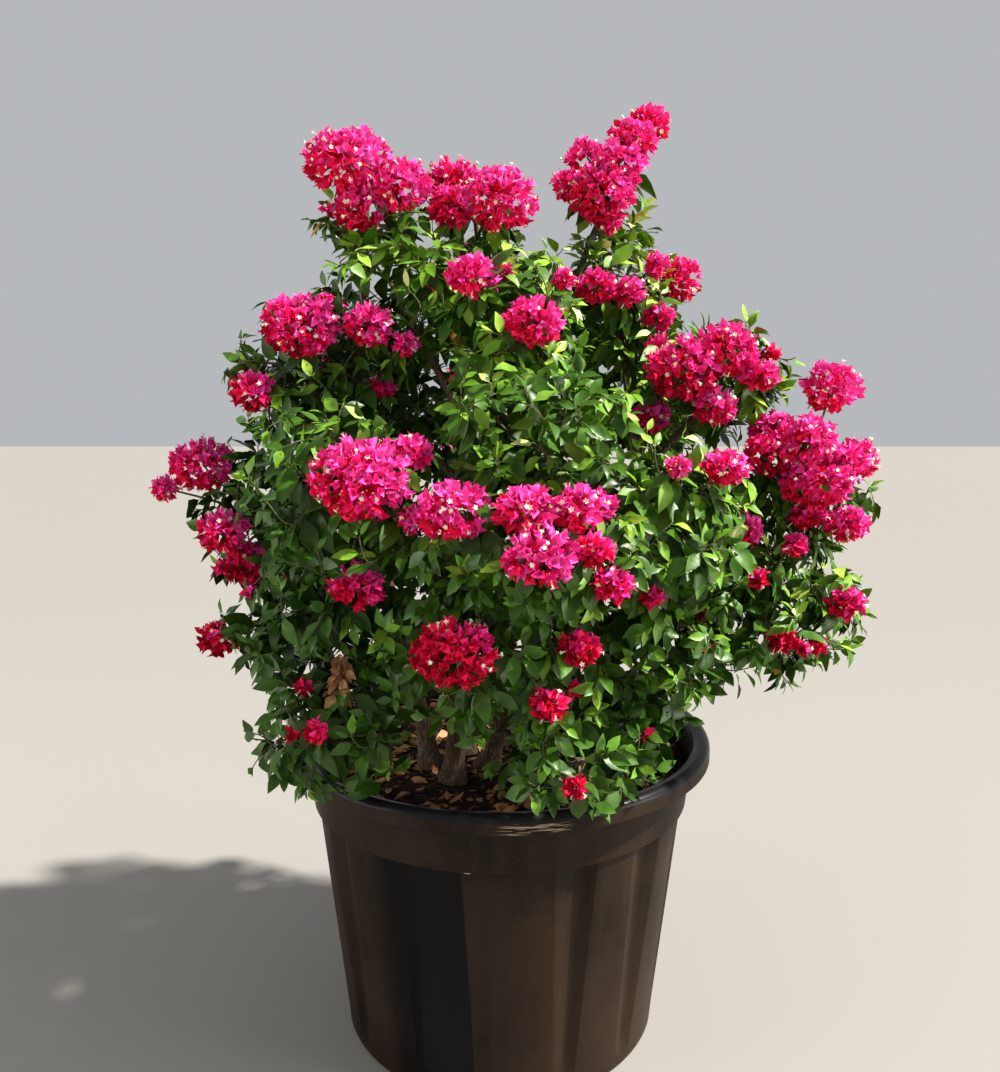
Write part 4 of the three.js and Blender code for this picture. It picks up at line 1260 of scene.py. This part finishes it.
def bracts(flowers, rng):
    """Three bracts to a flower, opening like a cup. Each has 11 corners and 12 faces."""
    foot, axis = flowers[:, :3], flowers[:, 3:6]
    count = len(flowers)
    side = beside(axis)
    front = np.cross(axis, side)
    turn = rng.uniform(0, 2 * math.pi, (count, 1))
    sets = []
    for third in range(3):
        angle = turn + third * 2 * math.pi / 3 + rng.normal(0, 0.14, (count, 1))
        out = side * np.cos(angle) + front * np.sin(angle)
        across = np.cross(axis, out)
        length = BRACT_LENGTH * rng.uniform(0.82, 1.15, (count, 1))
        half = length * BRACT_WIDTH / 2
        opening = rng.uniform(0.05, 0.45, (count, 1))
        spread = rng.uniform(0.2, 1.1, (count, 1))
        middle = foot
        corners = [foot]
        before = 0.0
        for share, wide in (*BRACT_ROWS, (1.0, 0.0)):
            lean = opening + spread * (share + before) / 2
            middle = middle + length * (share - before) * (axis * np.cos(lean) + out * np.sin(lean))
            inner = axis * np.sin(lean) - out * np.cos(lean)
            before = share
            if not wide:
                corners.append(middle)
                continue
            for way in (1, 0, -1):
                ruffle = rng.normal(0, 0.14, (count, 1))
                lift = half * wide * (0.42 * abs(way) + ruffle)
                corners.append(middle + across * way * half * wide + inner * lift)
        sets.append(np.stack(corners, axis=1))
    return np.concatenate(sets)


# Bract tints are dealt out by each flower's painted light: lighter copies where it faces the sun, darker
# ones as painted shade inside a head and in low heads.
BRACT_TINTS = (
    ("bracts_wine", (0.420, 0.002, 0.022), (0.600, 0.004, 0.040)),
    ("bracts_crimson", (0.780, 0.008, 0.062), (0.900, 0.016, 0.110)),
    ("bracts_rose", (0.900, 0.020, 0.215), (0.930, 0.042, 0.330)),
    ("bracts_magenta", (0.920, 0.050, 0.380), (0.950, 0.125, 0.500)),
)

flower_rng = np.random.default_rng(53)
flowers = flowers_of(flower_rng)
bract_points = bracts(flowers, flower_rng)
bract_light = np.tile(flowers[:, 6], 3) + flower_rng.normal(0, 0.14, 3 * len(flowers))
bract_tints = np.digitize(bract_light, BRACT_STEPS)
for number, (name, shade, light) in enumerate(BRACT_TINTS):
    own = bract_points[bract_tints == number]
    material = two_shades(name, 0.75, 0.1, shade, light, (70, 2), (0.38, 0.62),
                          relief=(420, 2, 0.3, 0.001))
    faces = repeated(BRACT_FACES, len(own), own.shape[1])
    mesh_piece(name, own.reshape(-1, 3), faces, material, blossom_nodes)

# True flowers: a slender tube with a cream star at its mouth

def true_flowers(rng):
    own = flowers[rng.uniform(0, 1, len(flowers)) < STAR_SHARE]
    foot, axis = own[:, :3], own[:, 3:6]
    count = len(own)
    side = beside(axis)
    front = np.cross(axis, side)
    mouth = foot + axis * rng.uniform(*TUBE_LENGTH, (count, 1))
    size = rng.uniform(*STAR_RADIUS, (count, 1))

    def around(middle, reach, k, corners):
        angle = 2 * math.pi * k / corners
        return middle + (side * math.cos(angle) + front * math.sin(angle)) * reach

    edge = 2 * STAR_POINTS
    corners = [mouth - axis * 1.2]
    for k in range(edge):
        reach, rise = (0.55, 0) if k % 2 else (1.0, 0.6)
        corners.append(around(mouth, size * reach, k, edge) + axis * rise)
    corners += [around(foot, 1.0, k, 3) for k in range(3)]
    corners += [around(mouth - axis, 1.3, k, 3) for k in range(3)]
    faces = [(0, 1 + k, 1 + (k + 1) % edge) for k in range(edge)]
    low, high = 1 + edge, 4 + edge
    for k in range(3):
        nxt = (k + 1) % 3
        faces += [(low + k, low + nxt, high + nxt), (low + k, high + nxt, high + k)]
    return np.stack(corners, axis=1).reshape(-1, 3), repeated(faces, count, len(corners))


points, faces = true_flowers(flower_rng)
cream = two_shades("cream_flower", 0.5, 0.4, (0.75, 0.66, 0.42), (0.90, 0.86, 0.70), (300, 1))
mesh_piece("cream_stars", points, faces, cream, blossom_nodes)


# Floor, light and camera

def lamp(name, kind, place, target, power, colour):
    light = bpy.data.lights.new(name, kind)
    light.energy = power
    light.color = colour
    holder = added(name, light)
    holder.location = place
    holder.rotation_euler = (Vector(target) - Vector(place)).to_track_quat("-Z", "Y").to_euler()
    return light


deselect_all()
bpy.ops.mesh.primitive_plane_add(size=30, location=(0, 0, -0.0005))
floor = bpy.context.active_object
floor.name = "floor"
floor_paint, _, floor_shader = new_material("pale_floor", 0.9, 0.2)
floor_shader.inputs["Base Color"].default_value = (*FLOOR_COLOUR, 1)
floor.data.materials.append(floor_paint)

key = lamp("key", "SUN", (2.75, -0.35, 4.2), (0, 0, 0.9), 9.6, SUN_COLOUR)
key.angle = math.radians(3)
right_fill = lamp("right_fill", "AREA", (3.6, -1.35, 1.3), (0, 0, 0.7), 84, FILL_COLOUR)
right_fill.size = 1.5
left_fill = lamp("left_fill", "AREA", (-3.5, -1.3, 1.5), (0, 0, 0.8), 66, FILL_COLOUR)
left_fill.size = 2.0
world = bpy.data.worlds.new("studio")
world.use_nodes = True
backdrop = world.node_tree.nodes["Background"].inputs
backdrop["Color"].default_value = (*SKY_COLOUR, 1)
backdrop["Strength"].default_value = 0.5
bpy.context.scene.world = world
bpy.context.scene.view_settings.view_transform = "Standard"

camera = bpy.data.cameras.new("camera")
camera.lens = CAMERA_LENS
camera.sensor_width = 36
eye = added("camera", camera)
eye.location = CAMERA_PLACE
eye.rotation_euler = (math.pi / 2 - CAMERA_PITCH, 0, 0)
bpy.context.scene.camera = eye
